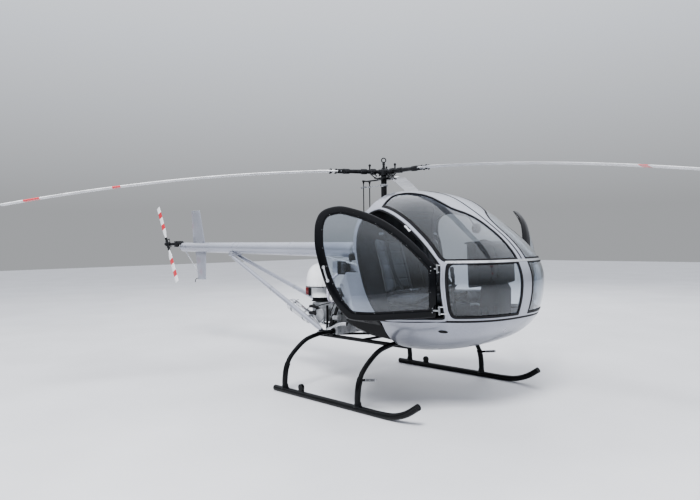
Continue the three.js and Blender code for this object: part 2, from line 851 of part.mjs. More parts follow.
add("rotor_hub", union(...hubParts), DARK, rotor);

// A wing section: a few points round a symmetric blade, from the leading edge.
const SECTION = [
  [0.0, 0.0],
  [0.06, 0.62],
  [0.3, 1.0],
  [0.65, 0.62],
  [1.0, 0.04],
  [1.0, -0.04],
  [0.65, -0.62],
  [0.3, -1.0],
  [0.06, -0.62],
];

// A blade lofted along +X from section to section; rows hold r, chord, thickness and height.
function blade(rows, lead = 0.28) {
  const positions = [];
  const index = [];
  const n = SECTION.length;
  for (const { r, chord, thick, z } of rows) {
    for (const [u, w] of SECTION) positions.push(r, (lead - u) * chord, z + (w * thick) / 2);
  }
  for (let k = 0; k < rows.length - 1; k += 1) {
    for (let i = 0; i < n; i += 1) {
      const j = (i + 1) % n;
      const p = k * n;
      const q = p + n;
      index.push(p + i, p + j, q + j);
      index.push(p + i, q + j, q + i);
    }
  }
  const end = (rows.length - 1) * n;
  for (let i = 1; i < n - 1; i += 1) {
    index.push(0, i + 1, i);
    index.push(end, end + i, end + i + 1);
  }
  const g = new THREE.BufferGeometry();
  g.setAttribute("position", new THREE.Float32BufferAttribute(positions, 3));
  g.setIndex(index);
  return g;
}
const droopAt = (r) => -ROTOR.droop * r * r;
const BLADE_STATIONS = [ROTOR.root + 30 + GAP, 620, 1350, 2100, 2850, ROTOR.r];
bladeTurns.forEach((a, i) => {
  const rows = BLADE_STATIONS.map((r, k) => ({
    r,
    chord: k === 0 ? 110 : ROTOR.chord,
    thick: k === 0 ? 26 : ROTOR.thick,
    z: droopAt(r),
  }));
  const mesh = add(`main_blade_${i + 1}`, blade(rows), WHITE, rotor);
  mesh.rotation.z = a;
});

// Tail rotor: hub and two blades, turning about the sideways axis
const tailRotor = new THREE.Group();
tailRotor.position.set(TAIL_ROTOR.x, TAIL_ROTOR.y, TAIL_ROTOR.z);
tailRotor.rotation.y = THREE.MathUtils.degToRad(-TAIL_ROTOR.lean);
root.add(tailRotor);
add(
  "tail_rotor_hub",
  union(
    rod(v3(0, 42, 0), v3(0, -32, 0), 30, 16),
    rod(v3(0, 0, -104), v3(0, 0, 104), 17, 10),
  ),
  DARK,
  tailRotor,
);
const TAIL_ROWS = [
  { r: 104 + GAP, chord: 46, thick: 14, z: 0 },
  { r: 190, chord: TAIL_ROTOR.chord, thick: TAIL_ROTOR.thick, z: 0 },
  { r: TAIL_ROTOR.r, chord: TAIL_ROTOR.chord, thick: 8, z: 0 },
];
for (const { name, turn } of [
  { name: "tail_blade_1", turn: 0 },
  { name: "tail_blade_2", turn: Math.PI },
]) {
  const geometry = blade(TAIL_ROWS, 0.4)
    .rotateX(Math.PI / 2)
    .rotateY(-Math.PI / 2);
  add(name, geometry, WHITE, tailRotor).rotation.y = turn;
}

export default root;
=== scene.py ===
"""Surfaces, glass, upholstery and fittings of a light two-seat helicopter.

Every piece is made in the aircraft's own frame: metres, +X forward, +Y to port, +Z up, with the
ground at Z = 0. Drawing sizes are in millimetres ahead of the main rotor's axis.
"""

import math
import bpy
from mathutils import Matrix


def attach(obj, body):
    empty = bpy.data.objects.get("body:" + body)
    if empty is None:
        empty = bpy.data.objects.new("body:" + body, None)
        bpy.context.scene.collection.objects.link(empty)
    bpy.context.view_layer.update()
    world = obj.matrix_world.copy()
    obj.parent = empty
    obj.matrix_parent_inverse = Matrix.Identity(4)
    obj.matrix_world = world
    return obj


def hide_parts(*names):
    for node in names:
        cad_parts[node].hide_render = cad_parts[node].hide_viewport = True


bl_info = {
    "name": "Light two-seat helicopter",
    "version": (1, 0, 0),
    "blender": (4, 5, 0),
    "location": "3D View > Sidebar > Helicopter",
    "description": "Builds the finished surfaces of a light helicopter around its frame",
    "category": "Object",
}

import bmesh
import bpy
import numpy as np
from mathutils import Matrix, Vector

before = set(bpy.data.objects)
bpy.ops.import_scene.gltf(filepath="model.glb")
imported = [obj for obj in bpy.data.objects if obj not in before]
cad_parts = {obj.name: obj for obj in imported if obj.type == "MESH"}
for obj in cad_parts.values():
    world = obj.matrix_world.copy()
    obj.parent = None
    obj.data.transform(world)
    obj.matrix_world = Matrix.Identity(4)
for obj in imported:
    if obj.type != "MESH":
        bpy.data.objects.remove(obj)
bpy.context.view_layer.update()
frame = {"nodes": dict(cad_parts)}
NODES = frame["nodes"]

# Drawing sizes, in millimetres from the main rotor's axis

MAST_X = 495.0
CABIN = {"x": 500.0, "z": 1120.0, "width": 800.0, "bulge": 3.3, "round": 2.6, "wall": 24.0, "taper": 0.2}
PROFILE = [
    (1612, 1090), (1598, 1200), (1542, 1322), (1428, 1456), (1252, 1600), (1066, 1734),
    (840, 1864), (590, 1930), (330, 1945), (60, 1925), (-200, 1840), (-400, 1660),
    (-520, 1420), (-560, 1120), (-500, 850), (-340, 640), (-80, 520), (250, 465),
    (600, 452), (900, 478), (1180, 540), (1400, 640), (1530, 770), (1592, 930),
]
RAIL = [(440, 1760), (572, 1732), (709, 1685), (841, 1619), (967, 1531), (1107, 1410), (1234, 1270)]
CORNER = [(212, 1380), (204, 1480), (205, 1560), (217, 1620), (241, 1675), (283, 1717), (345, 1745)]
JAMB = [(519, 790), (467, 830), (414, 889), (331, 1019), (264, 1186)]
REAR_EDGE = [
    (503, 774), (451, 830), (398, 889), (315, 1019), (248, 1186), (191, 1380), (169, 1480), (168, 1573), (176, 1635),
    (192, 1688), (222, 1728), (262, 1760), (293, 1818), (318, 1872), (334, 1915), (338, 1960),
]
ROOF_EDGE = [
    (436, 900), (432, 600), (436, 480), (467, 371), (560, 302), (745, 281), (901, 283), (1014, 259),
    (1060, 222), (1104, 166), (1160, 112), (1240, 78), (1340, 68), (1440, 66), (1800, 66), (1800, 900),
]
TRIM_HALF = 9.0  # half the width of the bright trim round a doorway
DOORWAY_LIP = 22.5  # how far the doorway's black seal reaches in from the hoop's middle line
DOOR = {"gap": 7.0, "band": 68.0, "thick": 30.0, "open": {1: 66.0, -1: 48.0}, "low": (1246, 732, 868),
    "high": (1216, 722, 1268)}
SIDES_Y = {"left": 940.0, "right": -940.0}
SKID = {"r": 28.0, "z": 26.5, "rear": -630.0, "front": 850.0, "tip": 1190.0, "rise": 136.0}
CROSS = {"front": 523.0, "rear": -472.0, "r": 22.0}
ROTOR = {"r": 3520.0, "z": 2175.0, "chord": 170.0, "thick": 20.0, "root": 490.3, "droop": 0.0000289, "turn": 1.0}
TAIL = {"x": -4170.0, "y": -200.0, "z": 1458.0, "r": 612.0, "chord": 92.0, "thick": 12.0, "lean": 27.0}
BOOM = {"rear": -4080.0, "front": -330.0, "r_front": 86.0, "r_rear": 66.0, "z_front": 1372.0, "z_rear": 1412.0}


def sill_z(x):
    """Height of the waist line, where the belly meets the canopy."""
    return 722 + 0.072 * min(x, 1180)


# Settings


def linear(code):
    """sRGB hex colour to linear red, green, blue and alpha."""
    parts = [int(code[i : i + 2], 16) / 255 for i in (1, 3, 5)]
    return tuple(c / 12.92 if c <= 0.04045 else ((c + 0.055) / 1.055) ** 2.4 for c in parts) + (1.0,)


class HelicopterSizes(bpy.types.PropertyGroup):
    """Sizes of the pieces that repeat or follow the aircraft's surfaces."""

    rivet_radius: bpy.props.FloatProperty(
        name="Rivet radius", description="Half the width of a rivet or screw head",
        default=0.0034, min=0.001, max=0.01, unit="LENGTH", precision=4)
    rivet_height: bpy.props.FloatProperty(
        name="Rivet height", description="How far a rivet or screw head stands up",
        default=0.0016, min=0.0005, max=0.005, unit="LENGTH", precision=4)
    seal_reach: bpy.props.FloatProperty(
        name="Windscreen seal", description="How far a windscreen's rubber seal laps over its pane",
        default=0.012, min=0.004, max=0.03, unit="LENGTH", precision=4)
    trim_height: bpy.props.FloatProperty(
        name="Doorway trim", description="How far the rounded trim round each doorway stands up",
        default=0.0065, min=0.002, max=0.009, unit="LENGTH", precision=4)
    hose_radius: bpy.props.FloatProperty(
        name="Hose radius", description="Half the width of the engine's cooling hoses",
        default=0.015, min=0.006, max=0.025, unit="LENGTH", precision=4)
    belt_width: bpy.props.FloatProperty(
        name="Harness width", description="Width of the seat harness webbing",
        default=0.046, min=0.025, max=0.06, unit="LENGTH", precision=4)
    fin_count: bpy.props.IntProperty(
        name="Cylinder fins", description="Cooling fins on each cylinder barrel", default=8, min=3, max=12)
    cooler_fins: bpy.props.IntProperty(
        name="Cooler fins", description="Fins of the oil cooler on the deck", default=17, min=6, max=30)
    pad_voxel: bpy.props.FloatProperty(
        name="Pad grid", description="Spacing of the seat pads' mesh before they are filled",
        default=0.006, min=0.004, max=0.02, unit="LENGTH", precision=4)
    pad_pressure: bpy.props.FloatProperty(
        name="Pad filling", description="Pressure that fills the seat pads", default=4.0, min=0.0, max=10.0)
    pad_swell: bpy.props.FloatProperty(
        name="Pad swell", description="Farthest that a point of a seat pad moves as it fills",
        default=0.024, min=0.0, max=0.03, unit="LENGTH", precision=4)
    floor_side: bpy.props.FloatProperty(
        name="Floor side", description="Side of the studio floor", default=70.0, min=20.0, max=200.0, unit="LENGTH")


class HelicopterColours(bpy.types.PropertyGroup):
    """Colours of the aircraft's finishes."""

    shell: bpy.props.FloatVectorProperty(
        name="Shell", description="Silver of the cabin, boom and tanks", subtype="COLOR", size=4, min=0, max=1,
        default=linear("#a3a6b0"))
    enamel: bpy.props.FloatVectorProperty(
        name="Enamel", description="White of the blades and the fan shroud", subtype="COLOR", size=4, min=0, max=1,
        default=linear("#dfe0e2"))
    lacquer: bpy.props.FloatVectorProperty(
        name="Door lacquer", description="Black of the door hoops", subtype="COLOR", size=4, min=0, max=1,
        default=linear("#06070a"))
    frame: bpy.props.FloatVectorProperty(
        name="Frame enamel", description="Black of the skids and tubes", subtype="COLOR", size=4, min=0, max=1,
        default=linear("#0c0d0f"))
    glass: bpy.props.FloatVectorProperty(
        name="Glass", description="Tint of the windscreens and door panes", subtype="COLOR", size=4, min=0, max=1,
        default=linear("#c4cdd6"))
    leather: bpy.props.FloatVectorProperty(
        name="Seats", description="Leather of the seats", subtype="COLOR", size=4, min=0, max=1,
        default=linear("#35373c"))
    stripe: bpy.props.FloatVectorProperty(
        name="Bands", description="Warning bands of the blades", subtype="COLOR", size=4, min=0, max=1,
        default=linear("#c2313b"))
    floor: bpy.props.FloatVectorProperty(
        name="Floor", description="Studio floor", subtype="COLOR", size=4, min=0, max=1, default=linear("#b9babd"))


def sizes():
    return bpy.context.scene.helicopter_sizes


def colours():
    return bpy.context.scene.helicopter_colours


# Frame and mesh helpers


def to_row(points):
    """Drawing millimetres to the aircraft's frame in metres."""
    array = np.asarray(points, float).reshape(-1, 3)
    return (array + (MAST_X, 0, 0)) / 1000


def finish_mesh(obj, material, angle=35.0):
    """Gives a mesh its material and smooth shading with sharp edges past an angle."""
    mesh = obj.data
    mesh.materials.clear()
    mesh.materials.append(material)
    mesh.polygons.foreach_set("use_smooth", [True] * len(mesh.polygons))
    mesh.set_sharp_from_angle(angle=math.radians(angle))
    mesh.update()
    return obj


def link(name, mesh):
    obj = bpy.data.objects.new(name, mesh)
    bpy.context.scene.collection.objects.link(obj)
    return obj


def make(name, verts, faces, material, angle=35.0, recalc=False):
    """A finished object from vertices in metres and faces."""
    mesh = bpy.data.meshes.new(name)
    mesh.from_pydata([tuple(v) for v in verts], [], [tuple(f) for f in faces])
    if recalc:
        bm = bmesh.new()
        bm.from_mesh(mesh)
        bmesh.ops.remove_doubles(bm, verts=bm.verts, dist=1e-6)
        bmesh.ops.recalc_face_normals(bm, faces=bm.faces)
        bm.to_mesh(mesh)
        bm.free()
    mesh.validate()
    return finish_mesh(link(name, mesh), material, angle)


class Parts:
    """Collects simple closed shapes into one mesh. All sizes are drawing millimetres."""

    def __init__(self):
        self.verts = []
        self.faces = []

    def put(self, verts, faces):
        base = len(self.verts)
        self.verts.extend(tuple(v) for v in verts)
        self.faces.extend(tuple(base + i for i in f) for f in faces)

    def grid(self, rows, close_rows=False, close_ends=True):
        """Closed skin over rows of points; every row is a closed ring of the same count."""
        count = len(rows[0])
        verts = [p for row in rows for p in row]
        faces = []
        total = len(rows)
        last = total if close_rows else total - 1
        for k in range(last):
            a, b = k * count, ((k + 1) % total) * count
            for i in range(count):
                j = (i + 1) % count
                faces.append((a + i, a + j, b + j, b + i))
        if close_ends and not close_rows:
            faces.append(tuple(reversed(range(count))))
            faces.append(tuple((total - 1) * count + i for i in range(count)))
        self.put(verts, faces)

    def bar(self, start, end, radius, sides=20, radius_end=None):
        start, end = Vector(start), Vector(end)
        radius_end = radius if radius_end is None else radius_end
        turn = (end - start).to_track_quat("Z", "Y")
        rows = []
        edge = min(radius, radius_end) * 0.12
        length = (end - start).length
        for along, r in ((0, radius - edge), (edge, radius), (length - edge, radius_end),
            (length, radius_end - edge)):
            rows.append([
                start + turn @ Vector((r * math.cos(t), r * math.sin(t), along))
                for t in (2 * math.pi * i / sides for i in range(sides))
            ])
        self.grid(rows)

    def lathe(self, start, direction, profile, sides=32):
        """Turned shape: rows of (distance along, radius) from start along a direction."""
        start = Vector(start)
        turn = Vector(direction).normalized().to_track_quat("Z", "Y")
        rows = [
            [
                start + turn @ Vector((max(r, 0.01) * math.cos(t), max(r, 0.01) * math.sin(t), along))
                for t in (2 * math.pi * i / sides for i in range(sides))
            ]
            for along, r in profile
        ]
        self.grid(rows)

    def block(self, low, high, bevel=2.0):
        """Box between two corners with its edges eased."""
        lo, hi = Vector(low), Vector(high)
        mid, half = (lo + hi) / 2, (hi - lo) / 2
        b = min(bevel, *(h * 0.45 for h in half))
        bm = bmesh.new()
        bmesh.ops.create_cube(bm, size=2)
        for v in bm.verts:
            v.co = Vector((v.co.x * half.x, v.co.y * half.y, v.co.z * half.z)) + mid
        bmesh.ops.bevel(bm, geom=bm.edges[:], offset=b, segments=2, affect="EDGES", profile=0.6)
        bm.verts.index_update()
        self.put([v.co.copy() for v in bm.verts], [[v.index for v in f.verts] for f in bm.faces])
        bm.free()

    def prism(self, outline, low, high, plane="xz", bevel=1.5):
        """Flat outline pulled across between two offsets, with its rims eased."""
        bm = bmesh.new()
        place = {
            "xz": lambda a, c, d: (a, d, c),
            "xy": lambda a, c, d: (a, c, d),
            "yz": lambda a, c, d: (d, a, c),
        }[plane]
        ring = [bm.verts.new(place(a, c, low)) for a, c in outline]
        face = bm.faces.new(ring)
        pulled = bmesh.ops.extrude_face_region(bm, geom=[face])
        shift = Vector(place(0, 0, high - low))
        bmesh.ops.translate(bm, vec=shift, verts=[g for g in pulled["geom"] if isinstance(g, bmesh.types.BMVert)])
        bmesh.ops.recalc_face_normals(bm, faces=bm.faces)
        if bevel > 0:
            bmesh.ops.bevel(bm, geom=bm.edges[:], offset=bevel, segments=2, affect="EDGES", profile=0.6)
        bm.verts.index_update()
        self.put([v.co.copy() for v in bm.verts], [[v.index for v in f.verts] for f in bm.faces])
        bm.free()

    def tube(self, points, radius, sides=16, step=None, closed=False):
        """Round tube along a smooth line through the points."""
        line = smooth(points, step or max(radius * 0.8, 6.0), closed)
        self.sweep(line, [(radius * math.cos(t), radius * math.sin(t)) for t in
                          (2 * math.pi * i / sides for i in range(sides))], closed)

    def sweep(self, line, section, closed=False):
        """A section carried along a line without twist."""
        line = [Vector(p) for p in line]
        count = len(line)
        tangents = []
        for i in range(count):
            a = line[(i - 1) % count] if closed or i else line[0]
            b = line[(i + 1) % count] if closed or i < count - 1 else line[-1]
            tangents.append((b - a).normalized())
        normal = tangents[0].orthogonal().normalized()
        rows = []
        for i in range(count):
            if i:
                turn = tangents[i - 1].rotation_difference(tangents[i])
                normal = (turn @ normal).normalized()
            side = tangents[i].cross(normal)
            rows.append([line[i] + normal * a + side * b for a, b in section])
        self.grid(rows, close_rows=closed)

    def mesh(self):
        """The collected shapes as one closed mesh, for carving or filling."""
        mesh = bpy.data.meshes.new("block")
        mesh.from_pydata([tuple(v) for v in to_row([tuple(v) for v in self.verts])], [], self.faces)
        bm = bmesh.new()
        bm.from_mesh(mesh)
        bmesh.ops.remove_doubles(bm, verts=bm.verts, dist=1e-6)
        bmesh.ops.recalc_face_normals(bm, faces=bm.faces)
        bm.to_mesh(mesh)
        bm.free()
        return mesh

    def object(self, name, finish, matrix=None, angle=35.0, recalc=True):
        verts = to_row([tuple(v) for v in self.verts])
        if matrix is not None:
            verts = [matrix @ Vector(v) for v in verts]
        return make(name, verts, self.faces, finish, angle, recalc)


def smooth(points, step, closed=False):
    """Centripetal curve through the points, sampled about every step."""
    pts = [np.asarray(p, float) for p in points]
    count = len(pts)
    out = []
    spans = count if closed else count - 1
    for i in range(spans):
        p1, p2 = pts[i], pts[(i + 1) % count]
        p0 = pts[i - 1] if closed or i else 2 * p1 - p2
        p3 = pts[(i + 2) % count] if closed or i < count - 2 else 2 * p2 - p1
        d0, d1, d2 = (max(np.linalg.norm(b - a) ** 0.5, 1e-4) for a, b in ((p0, p1), (p1, p2), (p2, p3)))
        m1 = ((p1 - p0) / d0 - (p2 - p0) / (d0 + d1) + (p2 - p1) / d1) * d1
        m2 = ((p2 - p1) / d1 - (p3 - p1) / (d1 + d2) + (p3 - p2) / d2) * d1
        steps = max(1, int(round(np.linalg.norm(p2 - p1) / step)))
        for k in range(steps):
            t = k / steps
            out.append(
                (2 * t**3 - 3 * t**2 + 1) * p1 + (t**3 - 2 * t**2 + t) * m1
                + (-2 * t**3 + 3 * t**2) * p2 + (t**3 - t**2) * m2
            )
    if not closed:
        out.append(pts[-1])
    return [tuple(p) for p in out]


# The cabin's surface

RIM = np.array(smooth([(x - CABIN["x"], z - CABIN["z"]) for x, z in PROFILE], 4.0, closed=True))
RIM_ANGLE = np.arctan2(RIM[:, 1], RIM[:, 0])
RIM_ORDER = np.argsort(RIM_ANGLE)
RIM_ANGLE = RIM_ANGLE[RIM_ORDER]
RIM_RADIUS = np.hypot(RIM[:, 0], RIM[:, 1])[RIM_ORDER]


def rim_radius(angle):
    """Distance from the cabin's centre to its side profile in a direction."""
    return np.interp(angle, RIM_ANGLE, RIM_RADIUS, period=2 * math.pi)


def narrowing(x):
    """The cabin narrows towards its rear edge."""
    t = np.clip((1000 - x) / 800, 0, 1)
    return 1 - CABIN["taper"] * t * t * (3 - 2 * t)


def skin_y(x, z, depth=0.0):
    """Half-width of the cabin at a place in the side view, drawn in by a depth."""
    dx, dz = np.asarray(x, float) - CABIN["x"], np.asarray(z, float) - CABIN["z"]
    reach = rim_radius(np.arctan2(dz, dx)) - depth
    s = np.clip(np.hypot(dx, dz) / reach, 0, 0.99999)
    a = np.arccos(s ** (CABIN["bulge"] / 2))
    return np.sin(a) ** (2 / CABIN["round"]) * (CABIN["width"] - depth) * narrowing(np.asarray(x, float))


def egg(depth, around=150, rows=45):
    """The whole cabin body as a closed mesh in metres, drawn in by a depth in millimetres."""
    a = np.linspace(0, math.pi / 2, 4000)
    s = np.cos(a) ** (2 / CABIN["bulge"])
    c = np.sin(a) ** (2 / CABIN["round"])
    run = np.concatenate([[0], np.cumsum(np.hypot(np.diff(s) * 1050, np.diff(c) * 760))])
    pick = np.interp(np.linspace(0, run[-1], rows), run, a)
    s, c = np.cos(pick) ** (2 / CABIN["bulge"]), np.sin(pick) ** (2 / CABIN["round"])
    s = np.concatenate([s[:0:-1], s])
    c = np.concatenate([-c[:0:-1], c])
    angle = np.linspace(0, 2 * math.pi, around, endpoint=False)
    wrapped = np.where(angle > math.pi, angle - 2 * math.pi, angle)
    radius = rim_radius(wrapped) - depth
    verts = [(CABIN["x"], c[0] * (CABIN["width"] - depth) * narrowing(CABIN["x"]), CABIN["z"])]
    for k in range(1, len(s) - 1):
        x = CABIN["x"] + radius * s[k] * np.cos(angle)
        z = CABIN["z"] + radius * s[k] * np.sin(angle)
        y = c[k] * (CABIN["width"] - depth) * narrowing(x)
        verts.extend(zip(x, y, z))
    verts.append((CABIN["x"], c[-1] * (CABIN["width"] - depth) * narrowing(CABIN["x"]), CABIN["z"]))
    faces = []
    last = len(verts) - 1
    for i in range(around):
        n = (i + 1) % around
        faces.append((0, 1 + i, 1 + n))
        for k in range(len(s) - 3):
            p, q = 1 + k * around, 1 + (k + 1) * around
            faces.append((p + i, q + i, q + n, p + n))
        top = 1 + (len(s) - 3) * around
        faces.append((top + n, top + i, last))
    mesh = bpy.data.meshes.new("egg")
    mesh.from_pydata([tuple(v) for v in to_row(verts)], [], faces)
    return mesh


def prism(outline, low, high, plane="xz"):
    """A cutting body: a flat outline pulled across the cabin between two offsets."""
    ring = [tuple(p) for p in outline]
    count = len(ring)
    if plane == "xz":
        verts = [(a, low, c) for a, c in ring] + [(a, high, c) for a, c in ring]
    else:
        verts = [(a, c, low) for a, c in ring] + [(a, c, high) for a, c in ring]
    faces = [tuple(range(count)), tuple(reversed(range(count, 2 * count)))]
    faces += [((i + 1) % count, i, count + i, count + (i + 1) % count) for i in range(count)]
    mesh = bpy.data.meshes.new("prism")
    mesh.from_pydata([tuple(v) for v in to_row(verts)], [], faces)
    bm = bmesh.new()
    bm.from_mesh(mesh)
    bmesh.ops.recalc_face_normals(bm, faces=bm.faces)
    bm.to_mesh(mesh)
    bm.free()
    return mesh


def mirrored(mesh):
    """A copy of a mesh on the other side of the centre plane."""
    copy = mesh.copy()
    copy.transform(Matrix.Scale(-1, 4, (0, 1, 0)))
    copy.flip_normals()
    return copy


def carve(base, *steps):
    """Joins or cuts meshes in turn: each step is (operation, mesh)."""
    obj = link("carving", base.copy())
    for operation, mesh in steps:
        tool = link("tool", mesh)
        mod = obj.modifiers.new("cut", "BOOLEAN")
        mod.operation = operation
        mod.solver = "MANIFOLD"
        mod.object = tool
        tool.hide_viewport = False
        dg = bpy.context.evaluated_depsgraph_get()
        result = bpy.data.meshes.new_from_object(obj.evaluated_get(dg))
        obj.modifiers.remove(mod)
        obj.data = result
        bpy.data.objects.remove(tool)
    result = obj.data
    bpy.data.objects.remove(obj)
    return result


def inset(outline, distance):
    """Moves a closed outline inwards, or outwards for a negative distance, without folds."""
    pts = np.asarray(outline, float)
    nxt, prv = np.roll(pts, -1, 0), np.roll(pts, 1, 0)
    area = np.sum(pts[:, 0] * nxt[:, 1] - nxt[:, 0] * pts[:, 1])
    side = 1 if area > 0 else -1

    def normal(a, b):
        d = b - a
        return side * np.stack([-d[:, 1], d[:, 0]], 1) / np.maximum(np.hypot(d[:, 0], d[:, 1]), 1e-9)[:, None]

    before, after = normal(prv, pts), normal(pts, nxt)
    reach = distance / np.maximum(0.5, 1 + np.sum(before * after, 1))
    moved = pts + (before + after) * reach[:, None]
    edge = nxt - pts
    keep = []
    for q in moved:
        t = np.clip(np.sum((q - pts) * edge, 1) / np.maximum(np.sum(edge * edge, 1), 1e-9), 0, 1)
        gap = np.hypot(*(q - (pts + edge * t[:, None])).T)
        if gap.min() > abs(distance) * 0.985:
            keep.append(tuple(q))
    return keep


def hoop_outline():
    """Middle line of the silver hoop round a doorway in the side view."""
    return smooth(
        [(x, z) for x, z in RAIL[:-1]]
        + [(1222, 1288), (1240, 1262), (1254, 1067), (1263, 900), (1264, 850), (1254, 822), (1226, sill_z(1226) + 8)]
        + [(x, sill_z(x) + 8) for x in (1100, 900, 660)]
        + JAMB + CORNER,
        14.0, closed=True)


def doorway_outline():
    """Edge of the doorway in the side view."""
    return inset(hoop_outline(), 20)


def polar(outline, count=300, centre=(790.0, 1240.0)):
    """Resamples a star-shaped outline at even angles round a centre."""
    pts = np.asarray(outline, float) - centre
    angle = np.arctan2(pts[:, 1], pts[:, 0])
    radius = np.hypot(pts[:, 0], pts[:, 1])
    order = np.argsort(angle)
    angle, radius = angle[order], radius[order]
    want = np.linspace(-math.pi, math.pi, count, endpoint=False)
    # straight chords between the outline's points, found on the reciprocal of the radius
    xs, ys = radius * np.cos(angle), radius * np.sin(angle)
    out = []
    for w in want:
        k = np.searchsorted(angle, w) % len(angle)
        ax, ay, bx, by = xs[k - 1], ys[k - 1], xs[k], ys[k]
        dx, dy = math.cos(w), math.sin(w)
        det = dx * (ay - by) - dy * (ax - bx)
        r = (ax * (ay - by) - ay * (ax - bx)) / det if abs(det) > 1e-9 else radius[k]
        out.append((centre[0] + r * dx, centre[1] + r * dy))
    return out


def lift(outline, depth):
    """Puts a side-view outline on the cabin's skin at a depth, on the port side."""
    pts = np.asarray(outline, float)
    return [(x, y, z) for x, y, z in zip(pts[:, 0], skin_y(pts[:, 0], pts[:, 1], depth), pts[:, 1])]


# Materials


def shade(colour, share):
    """A linear colour made darker or lighter."""
    return tuple(min(c * share, 1.0) for c in colour[:3]) + (1.0,)


def add(tree, kind, links=None, **settings):
    """Adds a node with its settings, and links its inputs to the sockets given by name."""
    node = tree.nodes.new(kind)
    for name, value in settings.items():
        if hasattr(node, name):
            setattr(node, name, value)
        else:
            node.inputs[name.replace("_", " ")].default_value = value
    for name, socket in (links or {}).items():
        tree.links.new(socket, node.inputs[name])
    return node


def surface(name, **inputs):
    """A new material with one Principled shader, and its tree, shader and Object coordinates."""
    mat = bpy.data.materials.new(name)
    mat.use_nodes = True
    tree = mat.node_tree
    shader = tree.nodes["Principled BSDF"]
    for key, value in inputs.items():
        shader.inputs[key.replace("_", " ")].default_value = value
    return mat, tree, shader, add(tree, "ShaderNodeTexCoord").outputs["Object"]


def tint(tree, fac, dark, light, low=0.35, high=0.65):
    """Colour ramp between two colours, each a hex code or a linear colour, driven by a value."""
    ramp = add(tree, "ShaderNodeValToRGB", {"Fac": fac})
    for element, place, colour in zip(ramp.color_ramp.elements, (low, high), (dark, light)):
        element.position = place
        element.color = linear(colour) if isinstance(colour, str) else colour
    return ramp.outputs["Color"]


def rough(tree, shader, fac, low, high):
    """Roughness that runs between two values with a pattern."""
    span = add(tree, "ShaderNodeMapRange", {"Value": fac}, To_Min=low, To_Max=high)
    tree.links.new(span.outputs["Result"], shader.inputs["Roughness"])


def bump(tree, shader, height, strength, distance):
    node = add(tree, "ShaderNodeBump", {"Height": height}, Strength=strength, Distance=distance)
    tree.links.new(node.outputs["Normal"], shader.inputs["Normal"])


def noise(tree, place, scale, detail=3.0, roughness=0.5):
    return add(tree, "ShaderNodeTexNoise", {"Vector": place}, Scale=scale, Detail=detail,
        Roughness=roughness).outputs["Fac"]


def silver_paint():
    """Metallic polyurethane sprayed on glass fibre: cool silver, clear-coated, darker where it turns away."""
    mat, tree, shader, place = surface("Metallic polyurethane, silver", Metallic=0.6, Coat_Weight=0.8,
        Coat_Roughness=0.03)
    # flake is drawn as 8 mm specks, because the real 0.05 mm flake is too fine for the render
    flake = add(tree, "ShaderNodeTexVoronoi", {"Vector": place}, Scale=125.0).outputs["Color"]
    grey = add(tree, "ShaderNodeRGBToBW", {"Color": flake}).outputs["Val"]
    cloud = noise(tree, place, 1.6, 4.0)
    mix = add(tree, "ShaderNodeMix", {2: grey, 3: cloud}, Factor=0.8).outputs[0]
    tree.links.new(tint(tree, mix, shade(colours().shell, 0.9), shade(colours().shell, 1.06)),
        shader.inputs["Base Color"])
    rough(tree, shader, noise(tree, place, 5.0), 0.24, 0.36)
    bump(tree, shader, noise(tree, place, 200.0, 1.0), 0.015, 0.001)
    return mat


def white_enamel():
    """Two-part enamel on metal and glass fibre: even, glossy white with a little road film."""
    mat, tree, shader, place = surface("Two-part enamel, white", Coat_Weight=0.5, Coat_Roughness=0.06)
    film = noise(tree, place, 3.0, 5.0, 0.6)
    tree.links.new(tint(tree, film, shade(colours().enamel, 0.86), colours().enamel), shader.inputs["Base Color"])
    rough(tree, shader, film, 0.22, 0.38)
    bump(tree, shader, noise(tree, place, 220.0, 1.0), 0.02, 0.001)
    return mat


def worn_blade_enamel():
    """Satin enamel on the blades: grey-white, with a darker rubbed film along the span."""
    mat, tree, shader, place = surface("Satin enamel, blade white", Coat_Weight=0.15, Coat_Roughness=0.2)
    streak = noise(tree, place, 9.0, 5.0, 0.65)
    tree.links.new(tint(tree, streak, shade(colours().enamel, 0.66), shade(colours().enamel, 0.9)),
        shader.inputs["Base Color"])
    rough(tree, shader, streak, 0.34, 0.5)
    bump(tree, shader, noise(tree, place, 150.0, 2.0), 0.03, 0.001)
    return mat


def black_enamel():
    """Stoved enamel on steel tube: deep gloss black that catches a clear highlight, with fine dust on top."""
    mat, tree, shader, place = surface("Stoved enamel, black", Specular_IOR_Level=0.22, Coat_Weight=0.1,
        Coat_Roughness=0.05)
    dust = noise(tree, place, 7.0, 6.0, 0.65)
    tree.links.new(tint(tree, dust, shade(colours().frame, 0.6), shade(colours().frame, 1.7), 0.4, 0.8),
        shader.inputs["Base Color"])
    rough(tree, shader, dust, 0.14, 0.3)
    bump(tree, shader, noise(tree, place, 260.0, 1.0), 0.02, 0.001)
    return mat


def black_lacquer():
    """Two-part lacquer on a moulded hoop: near-black wet gloss with broad sky reflections."""
    mat, tree, shader, place = surface("Two-part lacquer, black", Specular_IOR_Level=0.2, Coat_Weight=0.1,
        Coat_Roughness=0.03)
    film = noise(tree, place, 4.0, 5.0, 0.6)
    tree.links.new(tint(tree, film, shade(colours().lacquer, 0.7), shade(colours().lacquer, 1.4)),
        shader.inputs["Base Color"])
    rough(tree, shader, film, 0.12, 0.22)
    return mat


